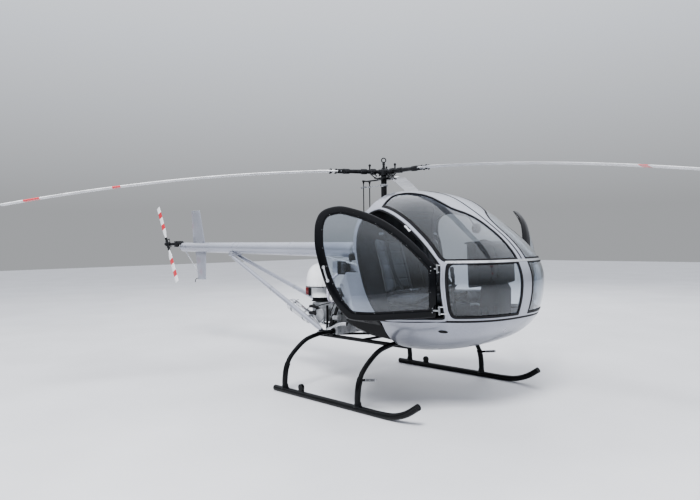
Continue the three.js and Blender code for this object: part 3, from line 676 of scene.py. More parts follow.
def blown_acrylic():
    """Blown acrylic sheet with a light grey-blue tint: clear and glossy, with a slow wave in its reflections."""
    mat, tree, shader, place = surface(
        "Blown acrylic, light grey", Transmission_Weight=1.0, IOR=1.49, Roughness=0.0, Specular_IOR_Level=1.0,
        Coat_Weight=0.6, Coat_Roughness=0.0)
    tone = noise(tree, place, 1.2, 2.0)
    tree.links.new(tint(tree, tone, shade(colours().glass, 0.94), shade(colours().glass, 1.06)),
        shader.inputs["Base Color"])
    bump(tree, shader, noise(tree, place, 2.5, 1.0), 0.03, 0.004)
    return mat


def seal_rubber():
    """Extruded EPDM rubber: matt black with a greyish bloom."""
    mat, tree, shader, place = surface("Extruded EPDM rubber, black", Specular_IOR_Level=0.3)
    bloom = noise(tree, place, 30.0, 4.0)
    tree.links.new(tint(tree, bloom, "#0d0d0f", "#1c1c1f"), shader.inputs["Base Color"])
    rough(tree, shader, bloom, 0.45, 0.65)
    bump(tree, shader, noise(tree, place, 300.0, 2.0), 0.08, 0.0005)
    return mat


def cast_alloy():
    """Sand-cast aluminium: pale grey with a coarse grain and oil-dark hollows."""
    mat, tree, shader, place = surface("Sand-cast aluminium", Metallic=0.8)
    grain = noise(tree, place, 160.0, 4.0)
    stain = noise(tree, place, 11.0, 5.0, 0.6)
    tree.links.new(tint(tree, stain, "#77797c", "#b9bbbe", 0.3, 0.62), shader.inputs["Base Color"])
    rough(tree, shader, stain, 0.4, 0.58)
    bump(tree, shader, grain, 0.25, 0.0012)
    return mat


def polished_alloy():
    """Polished aluminium: bright with fine drawn lines."""
    mat, tree, shader, place = surface("Polished aluminium", Metallic=1.0)
    lines = noise(tree, place, 90.0, 3.0)
    tree.links.new(tint(tree, lines, "#cbcdd0", "#e6e7e9"), shader.inputs["Base Color"])
    rough(tree, shader, lines, 0.16, 0.3)
    return mat


def zinc_steel():
    """Zinc-plated steel hardware: pale grey with a soft spangle."""
    mat, tree, shader, place = surface("Zinc-plated steel", Metallic=1.0)
    spangle = add(tree, "ShaderNodeTexVoronoi", {"Vector": place}, Scale=180.0).outputs["Distance"]
    tree.links.new(tint(tree, spangle, "#8e9093", "#bfc1c3", 0.1, 0.8), shader.inputs["Base Color"])
    rough(tree, shader, spangle, 0.26, 0.4)
    return mat


def chrome():
    """Chromed brass fittings: mirror bright with a slight haze."""
    mat, tree, shader, place = surface("Chrome plate", Metallic=1.0)
    haze = noise(tree, place, 40.0, 3.0)
    tree.links.new(tint(tree, haze, "#dcdee0", "#f0f1f2"), shader.inputs["Base Color"])
    rough(tree, shader, haze, 0.05, 0.13)
    return mat


def phosphated_steel():
    """Phosphated and oiled steel of the rotor head: dark grey-black with a low sheen."""
    mat, tree, shader, place = surface("Phosphated steel, oiled", Metallic=0.5)
    oil = noise(tree, place, 26.0, 5.0, 0.6)
    tree.links.new(tint(tree, oil, "#141517", "#2b2c2f"), shader.inputs["Base Color"])
    rough(tree, shader, oil, 0.26, 0.44)
    bump(tree, shader, noise(tree, place, 220.0, 2.0), 0.06, 0.0006)
    return mat


def moulded_plastic():
    """Moulded ABS: black with a leather-grain texture about 3 mm across."""
    mat, tree, shader, place = surface("Moulded ABS, black grain", Specular_IOR_Level=0.4)
    grain = add(tree, "ShaderNodeTexVoronoi", {"Vector": place}, Scale=320.0).outputs["Distance"]
    tree.links.new(tint(tree, noise(tree, place, 12.0), "#17181b", "#26272b"), shader.inputs["Base Color"])
    rough(tree, shader, grain, 0.46, 0.62)
    bump(tree, shader, grain, 0.08, 0.0006)
    return mat


def seat_leather():
    """Upholstery leather: charcoal, pebbled about 4 mm across, with a soft sheen on the crowns."""
    mat, tree, shader, place = surface("Upholstery leather, charcoal", Sheen_Weight=0.15)
    pebble = add(tree, "ShaderNodeTexVoronoi", {"Vector": place}, Scale=250.0).outputs["Distance"]
    worn = noise(tree, place, 8.0, 4.0)
    tree.links.new(tint(tree, worn, shade(colours().leather, 0.7), shade(colours().leather, 1.25)),
        shader.inputs["Base Color"])
    rough(tree, shader, pebble, 0.4, 0.58)
    bump(tree, shader, pebble, 0.1, 0.0006)
    return mat


def webbing():
    """Woven polyester webbing: black, with its ribs drawn about 4 mm apart so that they show."""
    mat, tree, shader, place = surface("Polyester webbing, black", Roughness=0.85)
    ribs = add(tree, "ShaderNodeTexWave", {"Vector": place}, Scale=80.0, Distortion=0.4,
        bands_direction="Z").outputs["Fac"]
    tree.links.new(tint(tree, ribs, "#0e0f11", "#2a2c30", 0.2, 0.8), shader.inputs["Base Color"])
    bump(tree, shader, ribs, 0.4, 0.0008)
    return mat


def carpet():
    """Needle-felt carpet: charcoal, mottled short fibres."""
    mat, tree, shader, place = surface("Needle-felt carpet, charcoal", Sheen_Weight=0.3, Roughness=0.95)
    fibre = noise(tree, place, 700.0, 2.0)
    tree.links.new(tint(tree, fibre, "#1c1d20", "#3a3c40"), shader.inputs["Base Color"])
    bump(tree, shader, fibre, 0.6, 0.002)
    return mat


def red_lens():
    """Moulded acrylic lens: dark red with prism cells 7 mm across."""
    mat, tree, shader, place = surface("Moulded acrylic, red", Coat_Weight=0.7, Coat_Roughness=0.04)
    cells = add(tree, "ShaderNodeTexVoronoi", {"Vector": place}, Scale=140.0,
        distance="CHEBYCHEV").outputs["Distance"]
    tree.links.new(tint(tree, cells, "#2d0708", "#7d1518", 0.1, 0.6), shader.inputs["Base Color"])
    rough(tree, shader, cells, 0.12, 0.3)
    return mat


def signal_red():
    """Signal enamel on the blades: even red, a little chalky."""
    mat, tree, shader, place = surface("Signal enamel, red", Coat_Weight=0.3, Coat_Roughness=0.1)
    film = noise(tree, place, 5.0, 4.0)
    tree.links.new(tint(tree, film, shade(colours().stripe, 0.85), shade(colours().stripe, 1.05)),
        shader.inputs["Base Color"])
    rough(tree, shader, film, 0.3, 0.45)
    return mat


def dial_enamel():
    """Matt black enamel on the instrument faces: a flat, non-reflecting black."""
    mat, tree, shader, place = surface("Matt enamel, dial black", Specular_IOR_Level=0.2)
    grain = noise(tree, place, 90.0)
    tree.links.new(tint(tree, grain, "#070708", "#101012"), shader.inputs["Base Color"])
    rough(tree, shader, grain, 0.6, 0.75)
    return mat


def silicone_hose():
    """Braided silicone hose: milky lilac-white with a satin skin."""
    mat, tree, shader, place = surface("Silicone hose, pale", Specular_IOR_Level=0.4)
    dirt = noise(tree, place, 16.0, 5.0, 0.6)
    tree.links.new(tint(tree, dirt, "#a9a6b4", "#cfcdd8"), shader.inputs["Base Color"])
    rough(tree, shader, dirt, 0.34, 0.5)
    return mat


def studio_floor():
    """Painted studio floor: pale grey with a faint mottle."""
    mat, tree, shader, place = surface("Painted studio floor, pale grey", Roughness=0.75)
    mottle = noise(tree, place, 0.8, 3.0)
    tree.links.new(tint(tree, mottle, shade(colours().floor, 0.96), shade(colours().floor, 1.03)),
        shader.inputs["Base Color"])
    return mat


FINISHES = {}


def material(maker):
    """The one copy of a finish, made when it is first asked for."""
    if maker.__name__ not in FINISHES:
        FINISHES[maker.__name__] = maker()
    return FINISHES[maker.__name__]


# Geometry Nodes


def new_tree(name, inputs):
    """An empty geometry tree with a geometry input and output, named sizes and a finish."""
    tree = bpy.data.node_groups.new(name, "GeometryNodeTree")
    tree.interface.new_socket("Geometry", in_out="INPUT", socket_type="NodeSocketGeometry")
    for label, kind, value in inputs:
        tree.interface.new_socket(label, in_out="INPUT", socket_type=kind).default_value = value
    tree.interface.new_socket("Finish", in_out="INPUT", socket_type="NodeSocketMaterial")
    tree.interface.new_socket("Geometry", in_out="OUTPUT", socket_type="NodeSocketGeometry")
    return tree, tree.nodes.new("NodeGroupInput"), tree.nodes.new("NodeGroupOutput")


def finish_tree(tree, take, give, socket):
    real = add(tree, "GeometryNodeRealizeInstances", {0: socket})
    done = add(tree, "GeometryNodeSetMaterial", {"Geometry": real.outputs[0], "Material": take.outputs["Finish"]})
    tree.links.new(done.outputs["Geometry"], give.inputs["Geometry"])
    return tree


def head_tree():
    """Domed or six-sided heads on points; each point's facing attribute turns its head."""
    tree, take, give = new_tree("Rivet and bolt heads", [
        ("Radius", "NodeSocketFloat", 0.0035), ("Height", "NodeSocketFloat", 0.0014), ("Sides", "NodeSocketInt", 10)])
    head = add(tree, "GeometryNodeMeshUVSphere", {"Radius": take.outputs["Radius"],
        "Segments": take.outputs["Sides"]}, Rings=6)
    ratio = add(tree, "ShaderNodeMath", {0: take.outputs["Height"], 1: take.outputs["Radius"]}, operation="DIVIDE")
    scale = add(tree, "ShaderNodeCombineXYZ", {"Z": ratio.outputs[0]}, X=1.0, Y=1.0)
    flat = add(tree, "GeometryNodeTransform", {"Geometry": head.outputs["Mesh"], "Scale": scale.outputs[0]})
    facing = add(tree, "GeometryNodeInputNamedAttribute", data_type="FLOAT_VECTOR", Name="facing")
    turn = add(tree, "FunctionNodeAlignRotationToVector", {"Vector": facing.outputs["Attribute"]}, axis="Z")
    put = add(tree, "GeometryNodeInstanceOnPoints", {
        "Points": take.outputs["Geometry"], "Instance": flat.outputs["Geometry"],
            "Rotation": turn.outputs["Rotation"]})
    return finish_tree(tree, take, give, put.outputs["Instances"])


def fin_tree():
    """A stack of plates: a line of points with one plate on each."""
    tree, take, give = new_tree("Cooling fins", [
        ("Count", "NodeSocketInt", 12), ("Start", "NodeSocketVector", (0, 0, 0)),
        ("Step", "NodeSocketVector", (0, 0.01, 0)), ("Plate", "NodeSocketVector", (0.1, 0.003, 0.1))])
    row = add(tree, "GeometryNodeMeshLine", {
        "Count": take.outputs["Count"], "Start Location": take.outputs["Start"], "Offset": take.outputs["Step"]})
    plate = add(tree, "GeometryNodeMeshCube", {"Size": take.outputs["Plate"]})
    put = add(tree, "GeometryNodeInstanceOnPoints", {"Points": row.outputs["Mesh"],
        "Instance": plate.outputs["Mesh"]})
    return finish_tree(tree, take, give, put.outputs["Instances"])


def pipe_tree():
    """Round pipe along lines, with a taper along its length and ribs whose depth and number a metre are inputs."""
    tree, take, give = new_tree("Pipe along a path", [
        ("Radius", "NodeSocketFloat", 0.012), ("End", "NodeSocketFloat", 1.0), ("Sides", "NodeSocketInt", 20),
        ("Ribs", "NodeSocketFloat", 0.0), ("Depth", "NodeSocketFloat", 0.0)])
    curve = add(tree, "GeometryNodeMeshToCurve", {"Mesh": take.outputs["Geometry"]})
    along = add(tree, "GeometryNodeSplineParameter")
    wave = add(tree, "ShaderNodeMath", {0: along.outputs["Length"], 1: take.outputs["Ribs"]}, operation="MULTIPLY")
    turn = add(tree, "ShaderNodeMath", {0: wave.outputs[0]}, operation="MULTIPLY")
    turn.inputs[1].default_value = 2 * math.pi
    sine = add(tree, "ShaderNodeMath", {0: turn.outputs[0]}, operation="SINE")
    swell = add(tree, "ShaderNodeMath", {0: sine.outputs[0], 1: take.outputs["Depth"]}, operation="MULTIPLY_ADD")
    swell.inputs[2].default_value = 1.0
    taper = add(tree, "ShaderNodeMapRange", {"Value": along.outputs["Factor"], "To Max": take.outputs["End"]},
        To_Min=1.0)
    both_ways = add(tree, "ShaderNodeMath", {0: swell.outputs[0], 1: taper.outputs["Result"]}, operation="MULTIPLY")
    sized = add(tree, "GeometryNodeSetCurveRadius", {"Curve": curve.outputs["Curve"], "Radius": both_ways.outputs[0]})
    ring = add(tree, "GeometryNodeCurvePrimitiveCircle", {"Radius": take.outputs["Radius"],
        "Resolution": take.outputs["Sides"]})
    skin = add(tree, "GeometryNodeCurveToMesh", {"Curve": sized.outputs["Curve"],
        "Profile Curve": ring.outputs["Curve"]})
    skin.inputs["Fill Caps"].default_value = True
    return finish_tree(tree, take, give, skin.outputs["Mesh"])


TREES = {}


def tree_for(maker):
    if maker.__name__ not in TREES:
        TREES[maker.__name__] = maker()
    return TREES[maker.__name__]


def grow(name, maker, mesh, finish, angle=35.0, **inputs):
    """Runs a node tree on a mesh and keeps the result as a plain mesh object."""
    obj = link(name, mesh)
    mod = obj.modifiers.new("grow", "NODES")
    mod.node_group = tree_for(maker)
    inputs["Finish"] = finish
    for item in mod.node_group.interface.items_tree:
        if item.item_type == "SOCKET" and item.in_out == "INPUT" and item.name in inputs:
            mod[item.identifier] = inputs[item.name]
    plain = bpy.data.meshes.new_from_object(obj.evaluated_get(bpy.context.evaluated_depsgraph_get()))
    obj.modifiers.remove(mod)
    obj.data = plain
    return outward(finish_mesh(obj, finish, angle))


def outward(obj):
    """Merges doubled points and turns every face outwards."""
    bm = bmesh.new()
    bm.from_mesh(obj.data)
    bmesh.ops.remove_doubles(bm, verts=bm.verts, dist=1e-6)
    bmesh.ops.recalc_face_normals(bm, faces=bm.faces)
    bm.to_mesh(obj.data)
    bm.free()
    return obj


def point_mesh(rows):
    """Points in drawing millimetres with the way each one faces, as a mesh of loose vertices."""
    mesh = bpy.data.meshes.new("points")
    mesh.from_pydata([tuple(v) for v in to_row([p for p, _ in rows])], [], [])
    layer = mesh.attributes.new("facing", "FLOAT_VECTOR", "POINT")
    layer.data.foreach_set("vector", [c for _, way in rows for c in Vector(way).normalized()])
    return mesh


def line_mesh(*routes, step=6.0):
    """Smooth lines through points in drawing millimetres, as one mesh of edges."""
    verts, edges = [], []
    for route in routes:
        line = to_row(smooth(route, step))
        edges.extend((len(verts) + i, len(verts) + i + 1) for i in range(len(line) - 1))
        verts.extend(tuple(v) for v in line)
    mesh = bpy.data.meshes.new("line")
    mesh.from_pydata(verts, edges, [])
    return mesh


def pipes(name, finish, radius, *routes, step=20.0, **inputs):
    """Round pipes along routes in drawing millimetres."""
    return grow(name, pipe_tree, line_mesh(*routes, step=step), material(finish), 50, Radius=radius / 1000, **inputs)


def heads(name, finish, rows, radius=None, height=None, sides=10):
    """Rivet or bolt heads at places in drawing millimetres."""
    return grow(
        name, head_tree, point_mesh(rows), material(finish), 40, Sides=sides,
        Radius=radius / 1000 if radius else sizes().rivet_radius,
            Height=height / 1000 if height else sizes().rivet_height)


def keep(obj, body, slot, *nodes):
    """Ties a finished piece to its body and hides the frame solids it stands for; the material slot is not used."""
    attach(obj, body)
    if nodes:
        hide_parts(*nodes)
    return obj


def rounded(outline, radius, least=18.0):
    """Rounds the corners of a closed outline that turn by more than a few degrees."""
    pts = [np.asarray(p, float) for p in outline]
    out = []
    for i, p in enumerate(pts):
        a, b = pts[i - 1] - p, pts[(i + 1) % len(pts)] - p
        la, lb = np.linalg.norm(a), np.linalg.norm(b)
        turn = math.degrees(math.pi - math.acos(float(np.clip(a @ b / (la * lb), -1, 1))))
        if turn < least:
            out.append(tuple(p))
            continue
        cut = min(radius, la * 0.45, lb * 0.45)
        start, end = p + a / la * cut, p + b / lb * cut
        for t in np.linspace(0, 1, 7):
            out.append(tuple((1 - t) ** 2 * start + 2 * t * (1 - t) * p + t * t * end))
    return out


def spaced(outline, step):
    """Points at even spacing round a closed outline."""
    pts = np.asarray(list(outline) + [outline[0]], float)
    run = np.concatenate([[0], np.cumsum(np.hypot(*np.diff(pts, axis=0).T))])
    at = np.arange(0, run[-1] - step / 2, step)
    return list(zip(np.interp(at, run, pts[:, 0]), np.interp(at, run, pts[:, 1])))


def on_skin(x, z, side, depth=0.0):
    """A place on the cabin's skin and the way the skin faces there."""
    e = 4.0
    along = (skin_y(x + e, z) - skin_y(x - e, z)) / (2 * e)
    up = (skin_y(x, z + e) - skin_y(x, z - e)) / (2 * e)
    return (x, side * float(skin_y(x, z, depth)), z), (-float(along), side, -float(up))


# Cabin shell and glass


def ahead_outline():
    return [(338, 2100)] + smooth(list(reversed(REAR_EDGE)), 12) + [(556, 740), (566, 700), (566, 380), (1800, 380),
        (1800, 2100)]


def sill_outline(lift, far):
    return [(-700, sill_z(-700) + lift), (1180, sill_z(1180) + lift), (1900, sill_z(1900) + lift), (1900, far),
        (-700, far)]


def upper_outline():
    rail = [p for p in smooth(RAIL, 14) if 440 <= p[0] <= 1200]
    return rail + [(1224, 1290), (1246, 1277), (1420, 1277), (1950, 1280), (1950, 2200), (440, 2200)]


LOWER_PANE = [(1277, 1278), (1286, 1067), (1292, 900), (1304, sill_z(1300) + 32), (1800, sill_z(1800) + 32),
    (1800, 1278)]


def upper_hole(grow_by=0.0):
    """Opening of an upper windscreen, between the roof panel, the rail and the cross bar."""
    side = rounded(inset(upper_outline(), 22 + grow_by), 15)
    plan = rounded(inset(ROOF_EDGE, grow_by), 60, 9.0) if grow_by else rounded(ROOF_EDGE, 60, 9.0)
    return carve(prism(side, 60, 900), ("INTERSECT", prism(plan, 1200, 2000, "xy")))


def lower_hole(grow_by=0.0):
    """Opening of a lower windscreen, between the cross bar and the sill."""
    side = rounded(inset(LOWER_PANE, grow_by) if grow_by else LOWER_PANE, 40)
    return prism(side, 78 + grow_by, 900)


def both(operation, mesh):
    return (operation, mesh), (operation, mirrored(mesh))


def canopy_and_belly():
    shell = carve(egg(0), ("DIFFERENCE", egg(CABIN["wall"])), ("INTERSECT", prism(ahead_outline(), -900, 900)))
    doorway = prism(doorway_outline(), 100, 900)
    canopy = carve(
        shell, ("INTERSECT", prism(sill_outline(9, 2200), -900, 900)),
        *both("DIFFERENCE", doorway), *both("DIFFERENCE", upper_hole()), *both("DIFFERENCE", lower_hole()))
    paint = material(silver_paint)
    keep(finish_mesh(link("canopy_shell", canopy), paint, 30), "airframe", "silver_paint", "canopy_frame")
    belly = carve(shell, ("INTERSECT", prism(sill_outline(-9, 300), -900, 900)))
    keep(finish_mesh(link("belly_skin", belly), paint, 30), "airframe", "silver_paint", "belly_shell")

    band = carve(
        egg(-1.2), ("DIFFERENCE", egg(CABIN["wall"] - 2)), ("INTERSECT", prism(ahead_outline(), -900, 900)),
        ("INTERSECT", prism(sill_outline(-8.5, 300)[:3] + list(reversed(sill_outline(8.5, 300)[:3])), -900, 900)))
    keep(finish_mesh(link("waist_seal", band), material(seal_rubber), 30), "airframe", "seal_rubber", "sill_seal")


def canopy_trim():
    """Doorway trim and seals, the cross bar, the seam down the roof, screws, latches and the belly's ovals."""
    height = sizes().trim_height * 1000
    outline = hoop_outline()
    outer, inner, edge = (polar(inset(outline, far), 420) for far in (-TRIM_HALF, TRIM_HALF, DOORWAY_LIP))
    section = [(0.0, 2), (0.0, -0.5)] + [
        (0.5 - 0.5 * math.cos(t), -0.5 - (height - 0.5) * math.sin(t) ** 0.7) for t in np.linspace(0.12,
            math.pi - 0.12, 11)] + [(1.0, -0.5), (1.0, 2)]
    for side, name in ((1, "left"), (-1, "right")):
        trim = side_parts(ring_rows(outer, inner, section), side).object(f"doorway_trim_{name}",
            material(silver_paint), None, 60)
        keep(trim, "airframe", "silver_paint")
        lip = ring_rows(inner, edge, [(0.0, 2), (0.0, -1.6), (0.5, -2.4), (0.9, -1.6), (1.0, 0), (1.0, 28),
            (0.84, 28), (0.84, 2)])
        keep(side_parts(lip, side).object(f"doorway_seal_{name}", material(seal_rubber), None, 60), "airframe",
            "seal_rubber")
        spots = [on_skin(x, z, side, -height) for x, z in spaced(outline, 92) if z > sill_z(x) + 16]
        spots += [on_skin(x, sill_z(x) - 26, side, -0.2) for x in np.arange(600, 1500, 74)]
        keep(heads(f"canopy_screws_{name}", zinc_steel, spots, 4.0, 1.2), "airframe", "steel")
    bar = carve(egg(-3.5), ("DIFFERENCE", egg(3)), ("INTERSECT",
        prism([(1262, 1278.5), (1262, 1298), (1900, 1298), (1900, 1278.5)], -900, 900)))
    keep(finish_mesh(link("windscreen_cross_bar", bar), material(polished_alloy), 30), "airframe", "silver_paint")
    seam = carve(
        egg(-2), ("DIFFERENCE", egg(4)), ("INTERSECT", prism([(520, -8), (1700, -8), (1700, 8), (520, 8)], 1302, 2100,
            "xy")))
    keep(finish_mesh(link("roof_seam", seam), material(seal_rubber), 30), "airframe", "seal_rubber")
    latch = Parts()
    for side in (1, -1):
        for x, z in ((872, 1577), (916, 1545)):
            at, way = on_skin(x, z, side, -5)
            latch.lathe(at, way, [(0, 9), (0, 11), (5, 11), (7, 8), (8, 3)], 20)
        spots = [on_skin(x, z, side, -11)[0] for x, z in ((861, 1586), (880, 1573), (900, 1558), (925, 1537))]
        latch.tube(spots, 9, 14, 8)
    keep(latch.object("rail_latches", material(chrome), None), "airframe", "steel")
    oval = [(1195 + 34 * math.cos(t), 716 + 13 * math.sin(t)) for t in (2 * math.pi * k / 40 for k in range(40))]
    plates = Parts()
    for side in (1, -1):
        rows = ring_rows(oval, [(1195 + (x - 1195) * 0.02, 716 + (z - 716) * 0.02) for x, z in oval], [
            (0.0, 2), (0.0, -1.2), (0.06, -2.2), (0.3, -2.4), (0.7, -2.4), (1.0, -2.4), (1.0, 2)])
        plates.grid([[(x, y * side, z) for x, y, z in row] for row in rows], close_rows=True)
    keep(plates.object("belly_ovals", material(black_lacquer), None, 50), "airframe", "black_gloss")


def windscreens():
    skin = carve(egg(5), ("DIFFERENCE", egg(9)))
    proud = carve(egg(-1.6), ("DIFFERENCE", egg(7)))
    reach = sizes().seal_reach * 1000
    for place, hole in (("upper", upper_hole), ("lower", lower_hole)):
        pane = carve(skin, ("INTERSECT", hole(0.8)))
        seal = carve(proud, ("INTERSECT", hole(-8)), ("DIFFERENCE", hole(reach)))
        for side, turn in (("left", lambda m: m), ("right", mirrored)):
            glass = finish_mesh(link(f"windscreen_{place}_{side}_pane", turn(pane)), material(blown_acrylic), 40)
            keep(glass, "airframe", "tinted_glass", f"windscreen_{place}_{side}")
            rubber = finish_mesh(link(f"windscreen_{place}_{side}_seal", turn(seal)), material(seal_rubber), 40)
            keep(rubber, "airframe", "seal_rubber")


# Doors


def hinge(side):
    """Start, direction and turn of a door's hinge line, as drawn and in the aircraft's frame."""
    low, high = Vector(DOOR["low"]), Vector(DOOR["high"])
    low.y *= side
    high.y *= side
    axis = (high - low).normalized()
    at = Vector(to_row([low])[0])
    turn = Matrix.Rotation(math.radians(-side * DOOR["open"][side]), 4, axis)
    return low, axis, Matrix.Translation(at) @ turn @ Matrix.Translation(-at)


def hinge_spots(side):
    low, axis, _ = hinge(side)
    high = Vector(DOOR["high"])
    high.y *= side
    return low + axis * 34, high - axis * 34


def ring_rows(outer, inner, section):
    """Rows round a band between two side-view outlines: each section point is (share across, depth)."""
    outer, inner = np.asarray(outer), np.asarray(inner)
    return [lift(outer + (inner - outer) * share, depth) for share, depth in section]


def side_parts(rows, side, closed=True):
    """A closed skin over rows on the port side, mirrored for the starboard side."""
    parts = Parts()
    parts.grid([[(x, y * side, z) for x, y, z in row] for row in rows], close_rows=closed)
    return parts


def door(side):
    name = "left" if side > 0 else "right"
    body = f"door_{name}"
    _, axis, swing = hinge(side)
    edge = inset(doorway_outline(), DOOR["gap"])
    outer, inner = polar(edge, 420), polar(inset(edge, DOOR["band"]), 420)
    section = [
        (0.0, 14), (0.015, 9), (0.05, 5), (0.13, 1.8), (0.28, 0.2), (0.5, 0), (0.72, 0.8), (0.86, 3), (0.95, 6.5),
        (0.985, 10), (0.985, 18), (0.9, 19), (0.86, 30), (0.08, 30), (0.0, 26)]
    hoop = side_parts(ring_rows(outer, inner, section), side)
    keep(hoop.object(f"door_{name}_hoop", material(black_lacquer), swing, 40), body, "black_gloss",
        f"door_frame_{name}")

    rim = ring_rows(outer, inner, [(0.02, 29.5), (0.1, 29.5), (0.1, 33.5), (0.06, 35.5), (0.02, 33.5)])
    keep(side_parts(rim, side).object(f"door_{name}_edge_seal", material(seal_rubber), swing, 60), body,
        "seal_rubber")
    bead = ring_rows(outer, inner, [(0.95, 9.5), (0.97, 7.2), (1.03, 8.4), (1.05, 11), (1.02, 13), (0.95, 13)])
    keep(side_parts(bead, side).object(f"door_{name}_glass_seal", material(seal_rubber), swing, 60), body,
        "seal_rubber")

    pane = np.asarray(polar(inset(edge, DOOR["band"] - 2), 420))
    centre = np.array([790.0, 1240.0])
    rows = [lift(centre + (pane - centre) * share, 11) for share in np.linspace(0.012, 1, 26)]
    rows += [lift(centre + (pane - centre) * share, 15) for share in np.linspace(1, 0.012, 26)]
    glass = side_parts(rows, side, closed=False)
    keep(glass.object(f"door_{name}_pane", material(blown_acrylic), swing, 50), body, "tinted_glass",
        f"door_glass_{name}")

    metal = Parts()
    for spot in hinge_spots(side):
        metal.bar(spot - axis * 19.5, spot + axis * 19.5, 9)
        metal.bar(spot, (spot.x - 58, spot.y - 36 * side, spot.z), 8)
        for x, z in ((spot.x - 52, spot.z + 16), (spot.x - 52, spot.z - 16)):
            at, way = on_skin(x, z, side, 1)
            metal.lathe(at, way, [(0, 5), (3, 5), (4.5, 3), (5, 1)], 12)
    keep(metal.object(f"door_{name}_hinge_leaf", material(zinc_steel), swing), body, "steel")

    grip = Parts()
    spots = [on_skin(x, z, side, d)[0] for x, z, d in ((311, 1224, 2), (315, 1214, -15), (329, 1170, -20),
        (346, 1124, -15), (350, 1114, 2))]
    grip.tube(spots, 8, 14, 6)
    for x, z in ((312, 1222), (349, 1116)):
        at, way = on_skin(x, z, side, 1)
        grip.lathe(at, way, [(0, 14), (3, 14), (5, 12), (6, 4)], 24)
    spots = [on_skin(x, z, side, 40)[0] for x, z in ((388, 1010), (376, 1040), (360, 1090), (350, 1120))]
    grip.tube(spots, 6, 12, 6)
    keep(grip.object(f"door_{name}_handles", material(polished_alloy), swing), body, "steel")
    screws = []
    for x, z in spaced(inset(edge, DOOR["band"] - 9), 150):
        screws.append(on_skin(x, z, side, 4.5))
    turned = heads(f"door_{name}_screws", zinc_steel, screws, 3.4, 1.5)
    turned.data.transform(swing)
    keep(turned, body, "steel")


def hinge_brackets():
    for side, name in ((1, "left"), (-1, "right")):
        _, axis, _ = hinge(side)
        parts = Parts()
        for spot in hinge_spots(side):
            for near, far in ((-34, -20.6), (20.6, 34)):
                a, b = spot + axis * near, spot + axis * far
                parts.bar(a, b, 10)
                mid = (a + b) / 2
                parts.bar(mid, (mid.x + 30, mid.y - 84 * side, mid.z), 6, 14)
            parts.bar(spot - axis * 38, spot + axis * 38, 4, 12)
        keep(parts.object(f"hinge_brackets_{name}", material(chrome), None), "airframe", "steel")


# Seats and cabin fittings

SEAT_Y = {"left": 285.0, "right": -285.0}


def fill_pad(name, mesh, finish):
    """Fills a pad as stuffing does: voxel remesh, Cloth with pressure and no gravity, and a cap on motion."""
    obj = link(name, mesh)
    grid = obj.modifiers.new("grid", "REMESH")
    grid.mode, grid.voxel_size = "VOXEL", sizes().pad_voxel * 1.0
    flat = bpy.data.meshes.new_from_object(obj.evaluated_get(bpy.context.evaluated_depsgraph_get()))
    obj.modifiers.remove(grid)
    obj.data = flat
    count = len(flat.vertices)
    start = np.empty(count * 3)
    flat.vertices.foreach_get("co", start)
    cloth = obj.modifiers.new("filling", "CLOTH")
    cloth.settings.use_pressure = True
    cloth.settings.uniform_pressure_force = sizes().pad_pressure
    cloth.settings.effector_weights.gravity = 0
    cloth.settings.quality = 4
    cloth.point_cache.frame_start, cloth.point_cache.frame_end = 1, 20
    for step in range(1, 21):
        bpy.context.scene.frame_set(step)
    filled = bpy.data.meshes.new_from_object(obj.evaluated_get(bpy.context.evaluated_depsgraph_get()))
    end = np.empty(count * 3)
    filled.vertices.foreach_get("co", end)
    obj.modifiers.remove(cloth)
    bpy.context.scene.frame_set(1)
    move = (end - start).reshape(-1, 3)
    far = np.maximum(np.linalg.norm(move, axis=1, keepdims=True), 1e-9)
    move *= np.minimum(1.0, sizes().pad_swell / far)
    flat.vertices.foreach_set("co", (start.reshape(-1, 3) + move).ravel())
    soften = obj.modifiers.new("soften", "SMOOTH")
    soften.factor, soften.iterations = 0.5, 3
    smooth_mesh = bpy.data.meshes.new_from_object(obj.evaluated_get(bpy.context.evaluated_depsgraph_get()))
    obj.modifiers.remove(soften)
    obj.data = smooth_mesh
    return finish_mesh(obj, finish, 180)


def press_channels(mesh, lines, way, width=11.0, depth=7.0):
    """Draws the surface in along sewn channels: each line is a plane (normal, offset) in drawing millimetres."""
    way = Vector(way)
    for v in mesh.vertices:
        if v.normal.dot(way) < 0.25:
            continue
        p = v.co * 1000 - Vector((MAST_X, 0, 0))
        for normal, offset in lines:
            gap = abs(p.dot(Vector(normal)) - offset) / width
            if gap < 1:
                v.co -= v.normal * depth / 1000 * (1 - gap * gap) ** 2
    mesh.update()


def seat_pads():
    """Two seat cushions and two seat backs, filled once each and set on both sides."""
    shapes = {
        "cushion": ([(446, 896), (936, 896), (955, 922), (934, 960), (700, 950), (420, 944)], 186, (0, 0, 1)),
        "back": ([(418, 984), (480, 986), (412, 1205), (330, 1462), (306, 1490), (288, 1482), (286, 1440)], 178,
            (1, 0, 0.3)),
    }
    for kind, (outline, half, way) in shapes.items():
        parts = Parts()
        parts.prism(outline, -half, half, "xz", 16)
        pad = fill_pad(f"pad_{kind}", parts.mesh(), material(seat_leather))
        lines = [((0, 1, 0), 92), ((0, 1, 0), -92)]
        lines += [((1, 0, 0), 560), ((1, 0, 0), 700), ((1, 0, 0), 840)] if kind == "cushion" else [((0, 0, 1), 1110),
            ((0, 0, 1), 1240), ((0, 0, 1), 1370)]
        press_channels(pad.data, lines, way)
        for name, y in SEAT_Y.items():
            mesh = pad.data.copy()
            mesh.transform(Matrix.Translation((0, y / 1000, 0)))
            obj = finish_mesh(link(f"seat_{kind}_{name}_pad", mesh), material(seat_leather), 180)
            keep(obj, "airframe", "seat_cloth", f"seat_{kind}_{name}")
        bpy.data.objects.remove(pad)


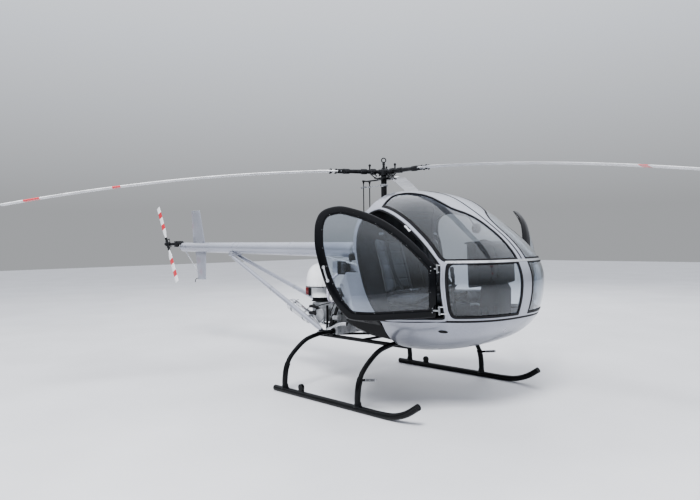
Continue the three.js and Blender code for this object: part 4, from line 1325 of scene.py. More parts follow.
def harness():
    """Lap belts and shoulder straps of flat webbing with their buckles."""
    half = sizes().belt_width * 500
    straps, metal = Parts(), Parts()
    flat = [(-1.2, -half), (1.2, -half), (1.2, half), (-1.2, half)]
    for y in SEAT_Y.values():
        side = 1 if y > 0 else -1
        routes = [
            [(330, y + 120 * side, 1528), (372, y + 118 * side, 1500), (420, y + 110 * side, 1330),
                (475, y + 90 * side, 1130), (540, y + 62 * side, 1012)],
            [(474, y - 206, 960), (500, y - 205, 992), (560, y - 150, 1012), (600, y - 40, 1012)],
            [(474, y + 206, 960), (500, y + 205, 992), (560, y + 150, 1012), (600, y + 40, 1012)],
        ]
        for route in routes:
            line = smooth(route, 12)
            rows = []
            for i, p in enumerate(line):
                a, b = Vector(line[max(i - 1, 0)]), Vector(line[min(i + 1, len(line) - 1)])
                way = (b - a).normalized()
                across = way.cross(Vector((1, 0, 0.4)) if abs(way.y) < 0.6 else Vector((0, 0,
                    1)).cross(way)).normalized()
                if abs(way.y) >= 0.6:
                    across = way.cross(Vector((0, 0, 1))).normalized()
                out = across.cross(way).normalized()
                rows.append([Vector(p) + out * u + across * w for u, w in flat])
            straps.grid(rows)
        metal.block((586, y - 46, 1006), (628, y + 46, 1022), 4)
        metal.block((322, y + 120 * side - 30, 1516), (336, y + 120 * side + 30, 1544), 3)
    keep(straps.object("harness_straps", material(webbing), None, 60), "airframe", "seat_cloth")
    keep(metal.object("harness_buckles", material(chrome), None), "airframe", "steel")


def console():
    """Pedestal and instrument panel with its hood, dials and switches."""
    body = Parts()
    body.prism([(1180, 707), (1388, 707), (1396, 1038), (1322, 1150), (1226, 1140)], -104, 104, "xz", 12)
    body.prism([(1212, 1052), (1326, 1088), (1319, 1288), (1283, 1415), (1238, 1442), (1198, 1434)], -288, 288, "xz",
        14)
    body.prism([(1176, 1428), (1184, 1440), (1238, 1449), (1290, 1422), (1300, 1400), (1236, 1424)], -290, 290, "xz",
        4)
    keep(body.object("instrument_panel", material(moulded_plastic), None, 40), "airframe", "dark_plastic", "console")
    faces, rims, ticks = Parts(), Parts(), []
    spots = [(y, z, 40) for z in (1366, 1268) for y in (-222, -128, -34, 60, 154, 240)] + [(y, 1176,
        34) for y in (-190, -100, 0, 100, 190)]
    for y, z, r in spots:
        x = 1212 - (z - 1052) * 14 / 382
        faces.lathe((x - 1, y, z), (-1, 0, -0.036), [(0, r - 4), (2, r - 4), (2.5, 0.5)], 32)
        rims.lathe((x + 1, y, z), (-1, 0, -0.036), [(0, r), (6, r), (8, r - 2), (7, r - 5), (3, r - 6), (0, r - 6)],
            32)
        for k in range(12):
            a = 2 * math.pi * k / 12
            ticks.append(((x - 4, y + (r - 10) * math.cos(a), z + (r - 10) * math.sin(a)), (-1, 0, 0)))
        rims.bar((x - 6, y, z), (x - 6, y + (r - 14) * 0.7, z + (r - 14) * 0.7), 1.4, 8)
    keep(faces.object("dial_faces", material(dial_enamel), None), "airframe", "dark_plastic")
    keep(rims.object("dial_rims", material(phosphated_steel), None), "airframe", "dark_plastic")
    keep(heads("dial_ticks", white_enamel, ticks, 2.6, 1.0, 8), "airframe", "white_paint")
    knobs = Parts()
    for k in range(8):
        knobs.lathe((1180 + 4, -77 + 22 * k, 1100), (-1, 0, 0.1), [(0, 7), (10, 7), (12, 5), (13, 1)], 16)
    for k in range(6):
        knobs.bar((1186, -70 + 28 * k, 1000), (1166, -70 + 28 * k, 1006), 3.5, 10)
    keep(knobs.object("console_knobs", material(moulded_plastic), None), "airframe", "dark_plastic")


def controls():
    """Cyclic sticks with grips and boots, collective levers, pedals, compass and the bow over the panel."""
    for name, y in SEAT_Y.items():
        stick = Parts()
        stick.tube([(1080, y, 707), (1080, y, 840), (1050, y, 1000), (1060, y, 1110), (1052, y, 1150)], 13, 20, 14)
        keep(stick.object(f"cyclic_{name}_tube", material(black_enamel), None, 50), "airframe", "black_frame",
            f"cyclic_stick_{name}")
        grip = Parts()
        grip.lathe((1056, y, 1130), (-0.16, 0, 1), [(0, 14), (4, 18), (30, 19), (46, 16), (66, 18), (84, 20),
            (94, 19), (100, 14), (102, 4)], 24)
        keep(grip.object(f"cyclic_{name}_grip", material(moulded_plastic), None), "airframe", "black_frame")
        keep(pipes(f"cyclic_{name}_boot", seal_rubber, 34, [(1080, y, 707.5), (1080, y, 770)], step=3, Ribs=90.0,
            Depth=0.1, End=0.5), "airframe", "seal_rubber")
    levers = Parts()
    for y in (60, -470):
        levers.tube([(620, y, 900), (760, y, 905), (900, y, 960), (960, y, 985)], 12, 16, 20)
    for y in SEAT_Y.values():
        for s in (-1, 1):
            levers.bar((1400, y + s * 90, 712), (1440, y + s * 90, 850), 8, 12)
            levers.block((1424, y + s * 90 - 34, 836), (1438, y + s * 90 + 34, 912), 4)
    keep(levers.object("collectives_and_pedals", material(black_enamel), None, 50), "airframe", "black_frame")
    pale = Parts()
    pale.tube([(1060, -30, 884), (1120, -34, 893), (1180, -40, 886), (1221, -46, 882)], 9, 14, 12)
    pale.lathe((1236, -48, 908), (0, 0, 1), [(0, 10), (3, 15), (12, 16), (18, 12), (20, 3)], 20)
    keep(pale.object("trim_lever", material(white_enamel), None), "airframe", "white_paint")
    compass = Parts()
    compass.tube([(1004, 0, 1757), (1010, 0, 1700), (1050, 0, 1640), (1090, 0, 1590)], 6, 12, 10)
    compass.lathe((1072, 0, 1566), (1, 0, 0), [(0, 8), (4, 28), (16, 42), (40, 46), (60, 40), (70, 22), (73, 4)], 32)
    compass.tube([(1150, 0, 1447), (1190, 0, 1452), (1262, 0, 1420), (1318, 0, 1290), (1330, 0, 1140)], 15, 16, 16)
    keep(compass.object("compass_and_bow", material(moulded_plastic), None), "airframe", "dark_plastic")


def cabin_lining():
    """Seat box with its kick board, and rubber floor mats."""
    box = Parts()
    box.prism([(602, 707), (928, 707), (958, 879), (504, 879)], -519, 519, "xz", 8)
    keep(box.object("seat_box_trim", material(moulded_plastic), None), "airframe", "dark_plastic", "seat_box")
    mats = Parts()
    for y in SEAT_Y.values():
        mats.block((985, y - 170, 706.6), (1370, y + 150, 712), 2.4)
        for k in range(12):
            mats.block((1000 + 30 * k, y - 160, 711), (1010 + 30 * k, y + 140, 715), 1.6)
    keep(mats.object("floor_mats", material(seal_rubber), None), "airframe", "seal_rubber")


# Landing gear


def skids():
    """Skid tubes with their wear shoes and handling lugs."""
    for name, y in SIDES_Y.items():
        z, front = SKID["z"], SKID["front"]
        route = [
            (SKID["rear"], y, z), (front - 400, y, z), (front - 200, y, z), (front - 60, y, z + 1),
                (front + 90, y, z + 14),
            (front + 220, y, z + 60), (SKID["tip"], y, z + SKID["rise"])]
        obj = pipes(f"skid_tube_{name}", black_enamel, SKID["r"], route, step=16, Sides=36)
        for v in obj.data.vertices:
            v.co.z = max(v.co.z, 0.0)
        keep(obj, "airframe", "black_frame", f"skid_{name}")
        lug = Parts()
        lug.lathe((-230, y - 13, 88), (0, 1, 0), [(0, 17.5), (0, 32), (2, 34), (24, 34), (26, 32), (26, 17.5),
            (0, 17.5)], 36)
        lug.block((-262, y - 12, 46), (-198, y + 12, 66), 4)
        for x in (CROSS["front"], CROSS["rear"]):
            lug.lathe((x, y, 40), (0, 0, 1), [(0, 40), (6, 40), (12, 34), (30, 31), (44, 27), (46, 24)], 32)
        keep(lug.object(f"skid_lug_{name}", material(black_enamel), None), "airframe", "black_frame")
        shoes = Parts()
        for x0, x1 in ((-560, -380), (420, 620)):
            shoes.block((x0, y - 13, 0.2), (x1, y + 13, 4), 1.5)
        keep(shoes.object(f"skid_shoes_{name}", material(zinc_steel), None), "airframe", "steel")


def cross_tubes():
    """Arched cross tubes with the sleeves on their legs and the step pegs."""
    arch = [(943, 24), (943, 110), (928, 225), (884, 322), (785, 414), (665, 486), (500, 521), (410, 525.5),
        (330, 526), (160, 526), (0, 526)]
    for name, x in (("front", CROSS["front"]), ("rear", CROSS["rear"])):
        route = [(x, -y, z) for y, z in arch] + [(x, y, z) for y, z in reversed(arch[:-1])]
        keep(pipes(f"cross_tube_{name}_pipe", black_enamel, CROSS["r"], route, step=16, Sides=28),
             "airframe", "black_frame", f"cross_tube_{name}")
        legs = [[(x, s * 943, 60), (x, s * 943, 120), (x, s * 928, 225), (x, s * 905, 284)] for s in (-1, 1)]
        keep(pipes(f"cross_tube_{name}_sleeves", black_enamel, CROSS["r"] + 5, *legs, step=12, Sides=28), "airframe",
            "black_frame")
    pegs, caps = Parts(), Parts()
    for s in (-1, 1):
        a, b = Vector((CROSS["front"] + 20, s * 912, 271)), Vector((CROSS["front"] + 185, s * 912, 296))
        pegs.bar(a, b, 11, 20)
        for k in range(7):
            at = a.lerp(b, 0.35 + 0.09 * k)
            caps.lathe(at, b - a, [(0, 11), (1, 13), (5, 13), (6, 11)], 20)
        caps.lathe(b, b - a, [(-2, 13), (4, 13), (7, 10), (8, 3)], 20)
    keep(pegs.object("step_pegs", material(black_enamel), None), "airframe", "black_frame")
    keep(caps.object("step_grips", material(zinc_steel), None), "airframe", "steel")


def lower_truss():
    """Two rails under the cabin with cross bars, saddles, clamps and the feet of the boom struts."""
    y, z, rear, front = 300, 478, -720, 548
    routes = [[(rear, s * y, z), (0, s * y, z), (front, s * y, z)] for s in (-1, 1)]
    routes += [[(rear + 20, -y, z), (rear + 20, y, z)]]
    keep(pipes("truss_rails", black_enamel, 19, *routes, step=60, Sides=24), "airframe", "black_frame", "lower_truss")
    thin = [[(-60, -y, z), (-60, y, z)], [(rear + 20, -y, z), (-60, y, z)]]
    keep(pipes("truss_braces", black_enamel, 13, *thin, step=60), "airframe", "black_frame")
    saddles, bolts = Parts(), []
    for s in (-1, 1):
        for x in (CROSS["front"], CROSS["rear"]):
            saddles.prism([(x - 30, 472), (x + 24, 472), (x + 24, 500), (x + 16, 503), (x - 20, 503), (x - 30, 500)],
                s * y - 23, s * y + 23, "xz", 3)
            ring = [(x + 24 * math.cos(t), s * y, 526 + 24 * math.sin(t)) for t in np.linspace(-0.25, math.pi + 0.25,
                12)]
            saddles.tube(ring, 4, 10, 5)
            bolts += [((x + d, s * y + e, 504), (0, 0, 1)) for d in (-24, 20) for e in (-14, 14)]
        saddles.block((-700, s * y - 25, 463), (-576, s * y + 25, 500), 4)
        for e in (-20, 20):
            saddles.prism([(-700, 496), (-576, 496), (-600, 524), (-664, 527)], s * y + e - 5, s * y + e + 5, "xz", 2)
        bolts += [((x, s * (y + 26), 512), (0, s, 0)) for x in (-664, -612)]
        bolts += [((x, s * (y + 26), 482), (0, s, 0)) for x in (-684, -592)]
    keep(saddles.object("truss_saddles", material(black_enamel), None), "airframe", "black_frame")
    keep(heads("truss_bolts", zinc_steel, bolts, 8, 6, 6), "airframe", "steel")
    beads = []
    for s in (-1, 1):
        beads += [((x, s * 420.2, 566 + (x > 430) * 14), (0, s, 0)) for x in np.arange(-420, 540, 64)]
        beads += [((x, s * 420.2, 560 + 130 * 0.5 + (x + 436) * 0.24), (0, s, 0)) for x in np.arange(-400, -100, 60)]
    keep(heads("tray_rivets", black_enamel, beads, 4, 2), "airframe", "black_frame")


# Boom, struts and fins


def boom_at(x):
    """Centre height and radius of the boom at a station."""
    t = (x - BOOM["front"]) / (BOOM["rear"] - BOOM["front"])
    height = BOOM["z_front"] + t * (BOOM["z_rear"] - BOOM["z_front"])
    return height, BOOM["r_front"] + t * (BOOM["r_rear"] - BOOM["r_front"])


def tail_boom():
    """Tapered boom with its end ring, lap bands and rivet rows."""
    start = Vector((BOOM["front"], 0, BOOM["z_front"]))
    way = Vector((BOOM["rear"] - BOOM["front"], 0, BOOM["z_rear"] - BOOM["z_front"]))
    length = way.length
    profile = [(0, 40), (0, 80), (3, 86)]
    for t in np.linspace(0.01, 1, 60):
        profile.append((t * (length - 40), BOOM["r_front"] + t * (BOOM["r_rear"] - BOOM["r_front"])))
    profile += [(length - 26, 63), (length - 12, 56), (length - 3, 48), (length, 44), (length, 20)]
    parts = Parts()
    parts.lathe(start, way, profile, 64)
    for x in (-420, -1480, -2540, -3300, -3960):
        z, r = boom_at(x)
        parts.lathe((x + 14, 0, z), way, [(0, r - 2), (0, r + 0.5), (1, r + 1.3), (27, r + 1.2), (28, r + 0.4),
            (28, r - 2), (0, r - 2)], 64)
    keep(parts.object("tail_boom_skin", material(silver_paint), None, 40), "airframe", "silver_paint", "tail_boom")
    rows = []
    for x in (-420, -1480, -2540, -3300, -3960):
        z, r = boom_at(x)
        for k in range(28):
            a = 2 * math.pi * k / 28
            rows.append(((x, (r + 1) * math.cos(a), z + (r + 1) * math.sin(a)), (0, math.cos(a), math.sin(a))))
    for x in np.arange(-500, -3900, -85):
        z, r = boom_at(x)
        rows.append(((x, 0.5 * r, z - 0.866 * r), (0, 0.5, -0.866)))
        rows.append(((x, -0.5 * r, z - 0.866 * r), (0, -0.5, -0.866)))
    keep(heads("tail_boom_rivets", silver_paint, rows), "airframe", "silver_paint")


def boom_struts():
    """Two struts with end fittings, and the bracket that holds them under the boom."""
    fittings, bolts = Parts(), []
    for name, s in (("left", 1), ("right", -1)):
        top, foot = Vector((-2760, s * 43, 1312)), Vector((-600, s * 311, 515))
        way = (foot - top).normalized()
        parts = Parts()
        start, end = top + way * 62, foot - way * 42
        mid = start.lerp(end, 0.5)
        for a, b, r0, r1 in ((start, start + way * 90, 17, 26.5), (start + way * 90, end - way * 90, 26.5, 26.5),
            (end - way * 90, end, 26.5, 17)):
            parts.lathe(a, b - a, [(0, r0 - 1), (1, r0), ((b - a).length - 1, r1), ((b - a).length, r1 - 1)], 32)
        keep(parts.object(f"boom_strut_{name}_tube", material(silver_paint), None), "airframe", "silver_paint",
            f"boom_strut_{name}")
        fittings.lathe(mid - way * 9, way, [(0, 26), (1, 28), (17, 28), (18, 26)], 32)
        fittings.bar(start - way * 34, start + way * 14, 11, 16)
        fittings.lathe((top.x + 14, s * 43 - 13, top.z - 5), (0, 1, 0), [(0, 12), (2, 17), (24, 17), (26, 12)], 24)
        bolts += [((top.x + 14, s * 43 + d, top.z - 5), (0, d, 0)) for d in (-14, 14)]
    cut = Parts()
    z0, r0 = boom_at(-2600)
    z1, r1 = boom_at(-2800)
    cut.lathe((-2600, 0, z0), (-200, 0, z1 - z0), [(0, r0), (math.hypot(200, z1 - z0), r1)], 48)
    slab = Parts()
    slab.prism([(-76, 1300), (-70, 1293), (70, 1293), (76, 1300), (76, 1336), (62, 1346), (-62, 1346), (-76, 1336)],
        -2744, -2656, "yz", 2)
    saddle = finish_mesh(link("strut_bracket_saddle", carve(slab.mesh(), ("DIFFERENCE", cut.mesh()))),
        material(silver_paint), 30)
    keep(saddle, "airframe", "bare_alloy", "strut_bracket")
    z, r = boom_at(-2700)
    strap = Parts()
    strap.lathe((-2672, 0, z - 0.3), (-1, 0, 0.01), [(0, r), (0, r + 3), (56, r + 3), (56, r), (0, r)], 56)
    keep(strap.object("strut_bracket_strap", material(silver_paint), None), "airframe", "bare_alloy")
    bolts += [((x, s * 76.5, 1318), (0, s, 0)) for x in (-2728, -2700, -2672) for s in (-1, 1)]
    keep(fittings.object("strut_fittings", material(zinc_steel), None), "airframe", "steel")
    keep(heads("strut_bolts", zinc_steel, bolts, 7, 5, 6), "airframe", "steel")


def foil(count=14):
    """A symmetric wing section from the trailing edge round the nose and back, 1 wide and 2 thick."""
    top = []
    for k in range(count + 1):
        u = (1 - math.cos(math.pi * k / count)) / 2
        w = 2.97 * math.sqrt(u) - 1.26 * u - 3.516 * u**2 + 2.843 * u**3 - 1.037 * u**4
        top.append((u, max(w, 0.0) + 0.03 * u))
    return [(u, w) for u, w in reversed(top)] + [(u, -w) for u, w in top[1:]]


FOIL = foil()
FINS = {
    "fin_upper": [(-3773, 1477), (-3452, 1475.4), (-3581, 1938), (-3816, 1942)],
    "fin_lower": [(-3715, 1341), (-3428, 1337), (-3440, 948), (-3652, 942)],
}


def tail_surfaces():
    """Fins above and below the boom with rounded leading edges, root angles and rivets."""
    rivets, angles = [], Parts()
    for node, corners in FINS.items():
        low_rear, low_front, high_front, high_rear = [np.array(c, float) for c in corners]
        rows = []
        for t in [0, 0.004] + list(np.linspace(0.02, 0.985, 15)) + [0.996, 1.0]:
            front, rear = low_front + (high_front - low_front) * t, low_rear + (high_rear - low_rear) * t
            thick = 9 * (0.6 if t in (0, 1.0) else 1.0)
            rows.append([(front[0] + (rear[0] - front[0]) * u, w * thick, front[1] + (rear[1] - front[1]) * u) for u,
                w in FOIL])
        parts = Parts()
        parts.grid(rows)
        keep(parts.object(f"{node}_skin", material(silver_paint), None, 50), "airframe", "silver_paint", node)
        for t in (0.06, 0.5, 0.94):
            a, b = low_front + (high_front - low_front) * t, low_rear + (high_rear - low_rear) * t
            for u in np.linspace(0.12, 0.9, 12):
                w = float(np.interp(u, [p[0] for p in FOIL[14:]], [-p[1] for p in FOIL[14:]]))
                p = a + (b - a) * u
                rivets += [((p[0], s * w * 9, p[1]), (0, s, 0)) for s in (-1, 1)]
        up = 1 if node == "fin_upper" else -1
        for s in (-1, 1):
            x0, x1 = low_rear[0] + 30, low_front[0] - 40
            z = low_front[1]
            angles.block((x0, s * 13 - 3, z - 6), (x1, s * 13 + 3, z + 22) if up > 0 else (x1, s * 13 + 3, z + 6),
                1.5)
    keep(angles.object("fin_root_angles", material(silver_paint), None), "airframe", "silver_paint")
    keep(heads("fin_rivets", silver_paint, rivets, 3.2, 1.3), "airframe", "silver_paint")
    brace = Parts()
    a, b = Vector((-3992, 0, 1346)), Vector((-3664, 0, 1057))
    brace.bar(a, b, 6.5, 16)
    for end, way in ((a, b - a), (b, a - b)):
        brace.lathe(end, way, [(0, 5), (2, 10), (30, 10), (38, 6.5)], 16)
    keep(brace.object("tail_brace_rod", material(polished_alloy), None), "airframe", "bare_alloy", "tail_brace")
    guard = Parts()
    guard.tube([(-3652, 0, 960), (-3700, 0, 952), (-3730, 0, 930), (-3736, 0, 900)], 5, 12, 8)
    keep(guard.object("tail_skid", material(phosphated_steel), None), "airframe", "steel")


# Rotors


def blade_rows(stations, lead):
    """Rings of a blade along +X: each station is (radius, chord, thickness, height, twist)."""
    rows = []
    for r, chord, thick, z, twist in stations:
        c, s = math.cos(math.radians(twist)), math.sin(math.radians(twist))
        ring = []
        for u, w in FOIL:
            a, b = (lead - u) * chord, w * thick / 2
            ring.append((r, a * c - b * s, z + a * s + b * c))
        rows.append(ring)
    return rows


def banded(obj, finishes, pick):
    """Gives faces of a mesh one of several finishes by their centre."""
    mesh = obj.data
    mesh.materials.clear()
    for finish in finishes:
        mesh.materials.append(finish)
    for face in mesh.polygons:
        face.material_index = pick(face.center)
    return obj


def main_blades():
    """Three drooping blades with root doublers, bolts, red bands and tip caps."""
    hub = Vector(to_row([(0, 0, ROTOR["z"])])[0])
    stops = sorted(set(np.linspace(620, ROTOR["r"] - 14, 70).tolist() + [2530, 2600, 3200, 3330]))
    stations = [
        (ROTOR["root"], 96, 26, 0, 0), (520, 100, 26, 0, 0), (560, 120, 25, 0, 0), (590, 150, 22, 0, 0)]
    stations += [(r, ROTOR["chord"], ROTOR["thick"], 0, 0) for r in stops]
    stations += [(ROTOR["r"] - 5, ROTOR["chord"] - 6, 12, 0, 0), (ROTOR["r"], ROTOR["chord"] - 20, 4, 0, 0)]
    stations = [(r, c, t, -ROTOR["droop"] * r * r, tw) for r, c, t, _, tw in stations]
    bolts, plates = [], Parts()
    for i in range(3):
        angle = math.radians(ROTOR["turn"] + 120 * i)
        parts = Parts()
        parts.grid(blade_rows(stations, 0.28))
        verts = np.asarray(parts.verts, float) / 1000
        spin = Matrix.Translation(hub) @ Matrix.Rotation(angle, 4, "Z")
        obj = make(f"main_blade_{i + 1}_skin", [spin @ Vector(v) for v in verts], parts.faces,
            material(worn_blade_enamel), 50, True)

        def stripe(centre):
            r = math.hypot(centre.x - hub.x, centre.y - hub.y) * 1000
            return 1 if 2530 < r < 2600 or 3200 < r < 3330 else 0

        banded(obj, [material(worn_blade_enamel), material(signal_red)], stripe)
        keep(obj, "main_rotor", "white_paint", f"main_blade_{i + 1}")
        out = Vector((math.cos(angle), math.sin(angle), 0))
        side = Vector((-math.sin(angle), math.cos(angle), 0))
        for r, w in ((505, 16), (505, -22), (560, 16), (560, -22)):
            at = out * r + side * w
            bolts += [((at.x, at.y, ROTOR["z"] + s * 13 - 8), (0, 0, s)) for s in (-1, 1)]
        for s in (-1, 1):
            low = [out * 496 + side * 26, out * 640 + side * 14, out * 700, out * 640 - side * 30,
                out * 496 - side * 34]
            z = ROTOR["z"] - 9 + s * 11.5
            plates.prism([(p.x, p.y) for p in low], z - 2.4 if s > 0 else z, z if s > 0 else z + 2.4, "xy", 0.8)
    keep(plates.object("blade_root_plates", material(white_enamel), None), "main_rotor", "white_paint")
    keep(heads("blade_root_bolts", phosphated_steel, bolts, 13, 12, 6), "main_rotor", "black_frame")


def rotor_head():
    """Hub with three jointed arms, pitch horns and links, and the lifting eye on its stem."""
    z0 = ROTOR["z"]
    head = Parts()
    head.lathe((0, 0, z0 - 44.6), (0, 0, 1), [(0, 30), (0, 38), (8, 42), (20, 44), (34, 46), (52, 46), (60, 42),
        (66, 32), (72, 24), (72, 4)], 40)
    head.lathe((0, 0, z0 + 26), (0, 0, 1), [(0, 22), (8, 22), (10, 14), (40, 12), (44, 16), (52, 16), (56, 12),
        (70, 10), (72, 4)], 6)
    eye = [(22 * math.cos(t) * 0.707, 22 * math.cos(t) * 0.707,
        z0 + 112 + 22 * math.sin(t)) for t in (2 * math.pi * k / 28 for k in range(28))]
    head.tube(eye, 5.5, 12, 5, closed=True)
    head.lathe((0, 0, z0 + 76), (0, 0, 1), [(0, 10), (4, 12), (12, 11), (18, 6)], 16)
    rods, bolts = Parts(), []
    for i in range(3):
        a = math.radians(ROTOR["turn"] + 120 * i)

        def out(r, z, side=0.0, a=a):
            return Vector((r * math.cos(a) - side * math.sin(a), r * math.sin(a) + side * math.cos(a), z0 + z))

        arm = out(1, 0) - out(0, 0)
        head.lathe(out(28, -7), arm, [
            (0, 20), (10, 26), (26, 26), (30, 19), (56, 19), (60, 29), (66, 31), (104, 31), (110, 28), (116, 22),
                (150, 21), (156, 27),
            (162, 28), (210, 28), (216, 22), (330, 20), (338, 24), (344, 26), (400, 27), (408, 24), (461, 22),
                (462, 12)], 32)
        head.block(out(100, -33, 0) - Vector((14, 14, 0)), out(100, 19, 0) + Vector((14, 14, 0)), 4)
        for s in (-1, 1):
            head.lathe(out(110, -7, 30 * s), out(0, 0, s) - out(0, 0, 0), [(0, 16), (8, 16), (12, 10), (14, 4)], 6)
            bolts.append((out(455, -7, 25 * s), out(0, 0, s) - out(0, 0, 0)))
        rods.bar(out(150, 12), out(150, 60), 7, 16)
        rods.lathe(out(150, 56, -8), out(0, 0, 1) - out(0, 0, 0), [(0, 9), (4, 13), (12, 13), (16, 9)], 20)
        rods.bar(out(150, 0, 0), out(150, -4, -60), 9, 16)
        rods.bar(out(150, -4, -56), out(84, -66, -30), 5, 14)
        rods.lathe(out(84, -74, -30), (0, 0, 1), [(0, 7), (3, 10), (13, 10), (16, 7)], 18)
        rods.bar(out(150, -4, 56), out(84, -56, 30), 5, 14)
        head.bar(out(40, -30), out(52, -50), 6, 12)
    keep(head.object("rotor_head", material(phosphated_steel), None, 30), "main_rotor", "black_frame", "rotor_hub")
    keep(rods.object("pitch_links", material(phosphated_steel), None), "main_rotor", "black_frame")
    keep(heads("rotor_head_bolts", zinc_steel, bolts, 7, 5, 6), "main_rotor", "steel")


def mast_and_controls():
    """Mast, swashplate, push rods and the guide that stops them turning."""
    mast = Parts()
    mast.lathe((0, 0, 1640.4), (0, 0, 1), [
        (0, 20), (0, 44), (8, 44), (14, 33), (60, 29), (372, 29), (374, 33), (380, 33), (382, 29), (436, 29),
            (480, 29), (488, 28), (488, 10)], 40)
    keep(mast.object("mast_tube", material(phosphated_steel), None), "airframe", "steel", "mast")
    plate = Parts()
    plate.lathe((0, 0, 2084), (0, 0, 1), [(0, 30), (0, 62), (2, 70), (9, 74), (12, 72), (14, 74), (20, 73), (24, 66),
        (24, 30), (0, 30)], 48)
    plate.bar((-68, 0, 2092), (-250, 0, 2092), 9, 18, 7)
    plate.bar((-248, -58, 2092), (-248, 58, 2092), 8, 18)
    for a in (1, 121, 241):
        c, s = math.cos(math.radians(a)), math.sin(math.radians(a))
        plate.bar((60 * c, 60 * s, 2100), (84 * c + 28 * s, 84 * s - 28 * c, 2106), 6, 14)
    keep(plate.object("swashplate_rings", material(phosphated_steel), None), "airframe", "steel", "swashplate")
    foot = BOOM["z_front"] + 60
    rods = Parts()
    for y in (-46, 46):
        rods.bar((-246, y, foot + 24), (-246, y, 2080), 5, 16)
        rods.lathe((-246, y, 2062), (0, 0, 1), [(0, 6), (2, 8), (14, 8), (16, 11), (34, 11), (38, 6)], 16)
        rods.lathe((-246, y, foot + 18), (0, 0, 1), [(0, 9), (20, 9), (24, 7), (34, 7), (36, 5)], 6)
    keep(rods.object("push_rods", material(phosphated_steel), None), "airframe", "steel", "control_rods")
    guide = Parts()
    guide.block((-262, -58, foot + 1), (-230, 58, foot + 22), 4)
    guide.block((-253, -58, 2023), (-241, 58, 2037), 3)
    guide.bar((-320, 0, 2030), (-34, 0, 2030), 6.5, 16)
    guide.lathe((0, 0, 2016), (0, 0, 1), [(0, 30), (0, 38), (3, 40), (25, 40), (28, 38), (28, 30), (0, 30)], 40)
    guide.lathe((-318, 0, 2020), (0, 0, 1), [(0, 10), (2, 12), (18, 12), (20, 10)], 24)
    keep(guide.object("push_rod_guide", material(zinc_steel), None), "airframe", "steel")


def tail_rotor():
    """Tail gearbox, its white collar, the turning hub and two banded blades."""
    x, y0, z = TAIL["x"], TAIL["y"], TAIL["z"]
    box, bolts = Parts(), []
    box.lathe((BOOM["rear"] - 1, 0, BOOM["z_rear"]), (-1, 0, 0.05),
        [(0, 20), (0, 50), (7, 52), (10, 50), (12, 38), (30, 34), (48, 30), (50, 10)], 36)
    box.lathe((x + 44, 0, z - 40), (-1, 0, 1), [(0, 22), (4, 30), (16, 34), (44, 36), (62, 30), (70, 8)], 32)
    box.lathe((x, 58, z), (0, -1, 0), [(0, 8), (0, 30), (4, 40), (14, 45), (60, 46), (110, 45), (126, 40), (140, 30),
        (152, 22), (190, 20), (214, 18), (215, 6)], 36)
    for t in (2 * math.pi * k / 6 for k in range(6)):
        box.bar((x + 44 * math.cos(t), 40, z + 44 * math.sin(t)), (x + 44 * math.cos(t), -80, z + 44 * math.sin(t)),
            5, 10)
        bolts.append(((BOOM["rear"] - 8, 45 * math.cos(t), BOOM["z_rear"] + 45 * math.sin(t)), (-1, 0, 0)))
    keep(box.object("tail_gearbox_case", material(phosphated_steel), None, 30), "airframe", "bare_alloy",
        "tail_gearbox")
    collar = Parts()
    collar.lathe((BOOM["rear"] - 20, 0, BOOM["z_rear"] + 1), (-1, 0, 0.1),
        [(0, 34), (0, 39), (3, 41), (19, 41), (22, 38), (22, 30)], 36)
    keep(collar.object("tail_gearbox_collar", material(white_enamel), None), "airframe", "white_paint")
    keep(heads("tail_gearbox_bolts", zinc_steel, bolts, 5, 4, 6), "airframe", "steel")

    centre = Vector((x, y0, z))
    lean = Matrix.Rotation(math.radians(-TAIL["lean"]), 4, "Y")
    hub = Parts()
    hub.lathe(centre + Vector((0, 42, 0)), (0, -1, 0), [(0, 8), (0, 24), (4, 30), (20, 30), (24, 24), (52, 24),
        (56, 30), (70, 29), (76, 20), (84, 16), (86, 4)], 32)
    for s in (-1, 1):
        way = lean @ Vector((0, 0, s))
        hub.lathe(centre + way * 20, way, [(0, 18), (16, 20), (34, 20), (38, 15), (56, 15), (60, 18), (82, 18),
            (84, 12)], 24)
        hub.bar(centre + way * 62 + Vector((0, 0, 0)), centre + way * 62 + lean @ Vector((46, 24, 0)), 6, 12)
        hub.bar(centre + way * 62 + lean @ Vector((44, 24, 0)),
            centre + Vector((0, 38, 0)) + lean @ Vector((12, 0, 0)), 4.5, 12)
    keep(hub.object("tail_rotor_head", material(phosphated_steel), None, 30), "tail_rotor", "black_frame",
        "tail_rotor_hub")

    centre = Vector(to_row([centre])[0])
    stations = [(104.5, 44, 14, 0, 0), (120, 46, 14, 0, 0), (150, 66, 13, 0, 0),
        (190, TAIL["chord"], TAIL["thick"], 0, 0)]
    stations += [(r, TAIL["chord"], TAIL["thick"] - 4 * (r - 190) / 420, 0, 0) for r in [205, 225, 244, 246, 262, 282,
        302, 324, 326, 350, 380, 410, 434, 436, 460, 490, 519, 521, 545, 575, 600]]
    stations += [(608, TAIL["chord"] - 5, 6, 0, 0), (TAIL["r"], TAIL["chord"] - 16, 3, 0, 0)]
    lay = Matrix.Rotation(-math.pi / 2, 4, "Y") @ Matrix.Rotation(math.pi / 2, 4, "X")
    for i, half in enumerate((0.0, math.pi)):
        parts = Parts()
        parts.grid(blade_rows(stations, 0.4))
        place = Matrix.Translation(centre) @ lean @ Matrix.Rotation(half, 4, "Y") @ lay
        verts = [place @ (Vector(v) / 1000) for v in parts.verts]
        obj = make(f"tail_blade_{i + 1}_skin", verts, parts.faces, material(white_enamel), 50, True)

        def band(face_centre):
            r = (face_centre - centre).length * 1000
            return 1 if 245 < r < 325 or 435 < r < 520 else 0

        banded(obj, [material(white_enamel), material(signal_red)], band)
        keep(obj, "tail_rotor", "white_paint", f"tail_blade_{i + 1}")


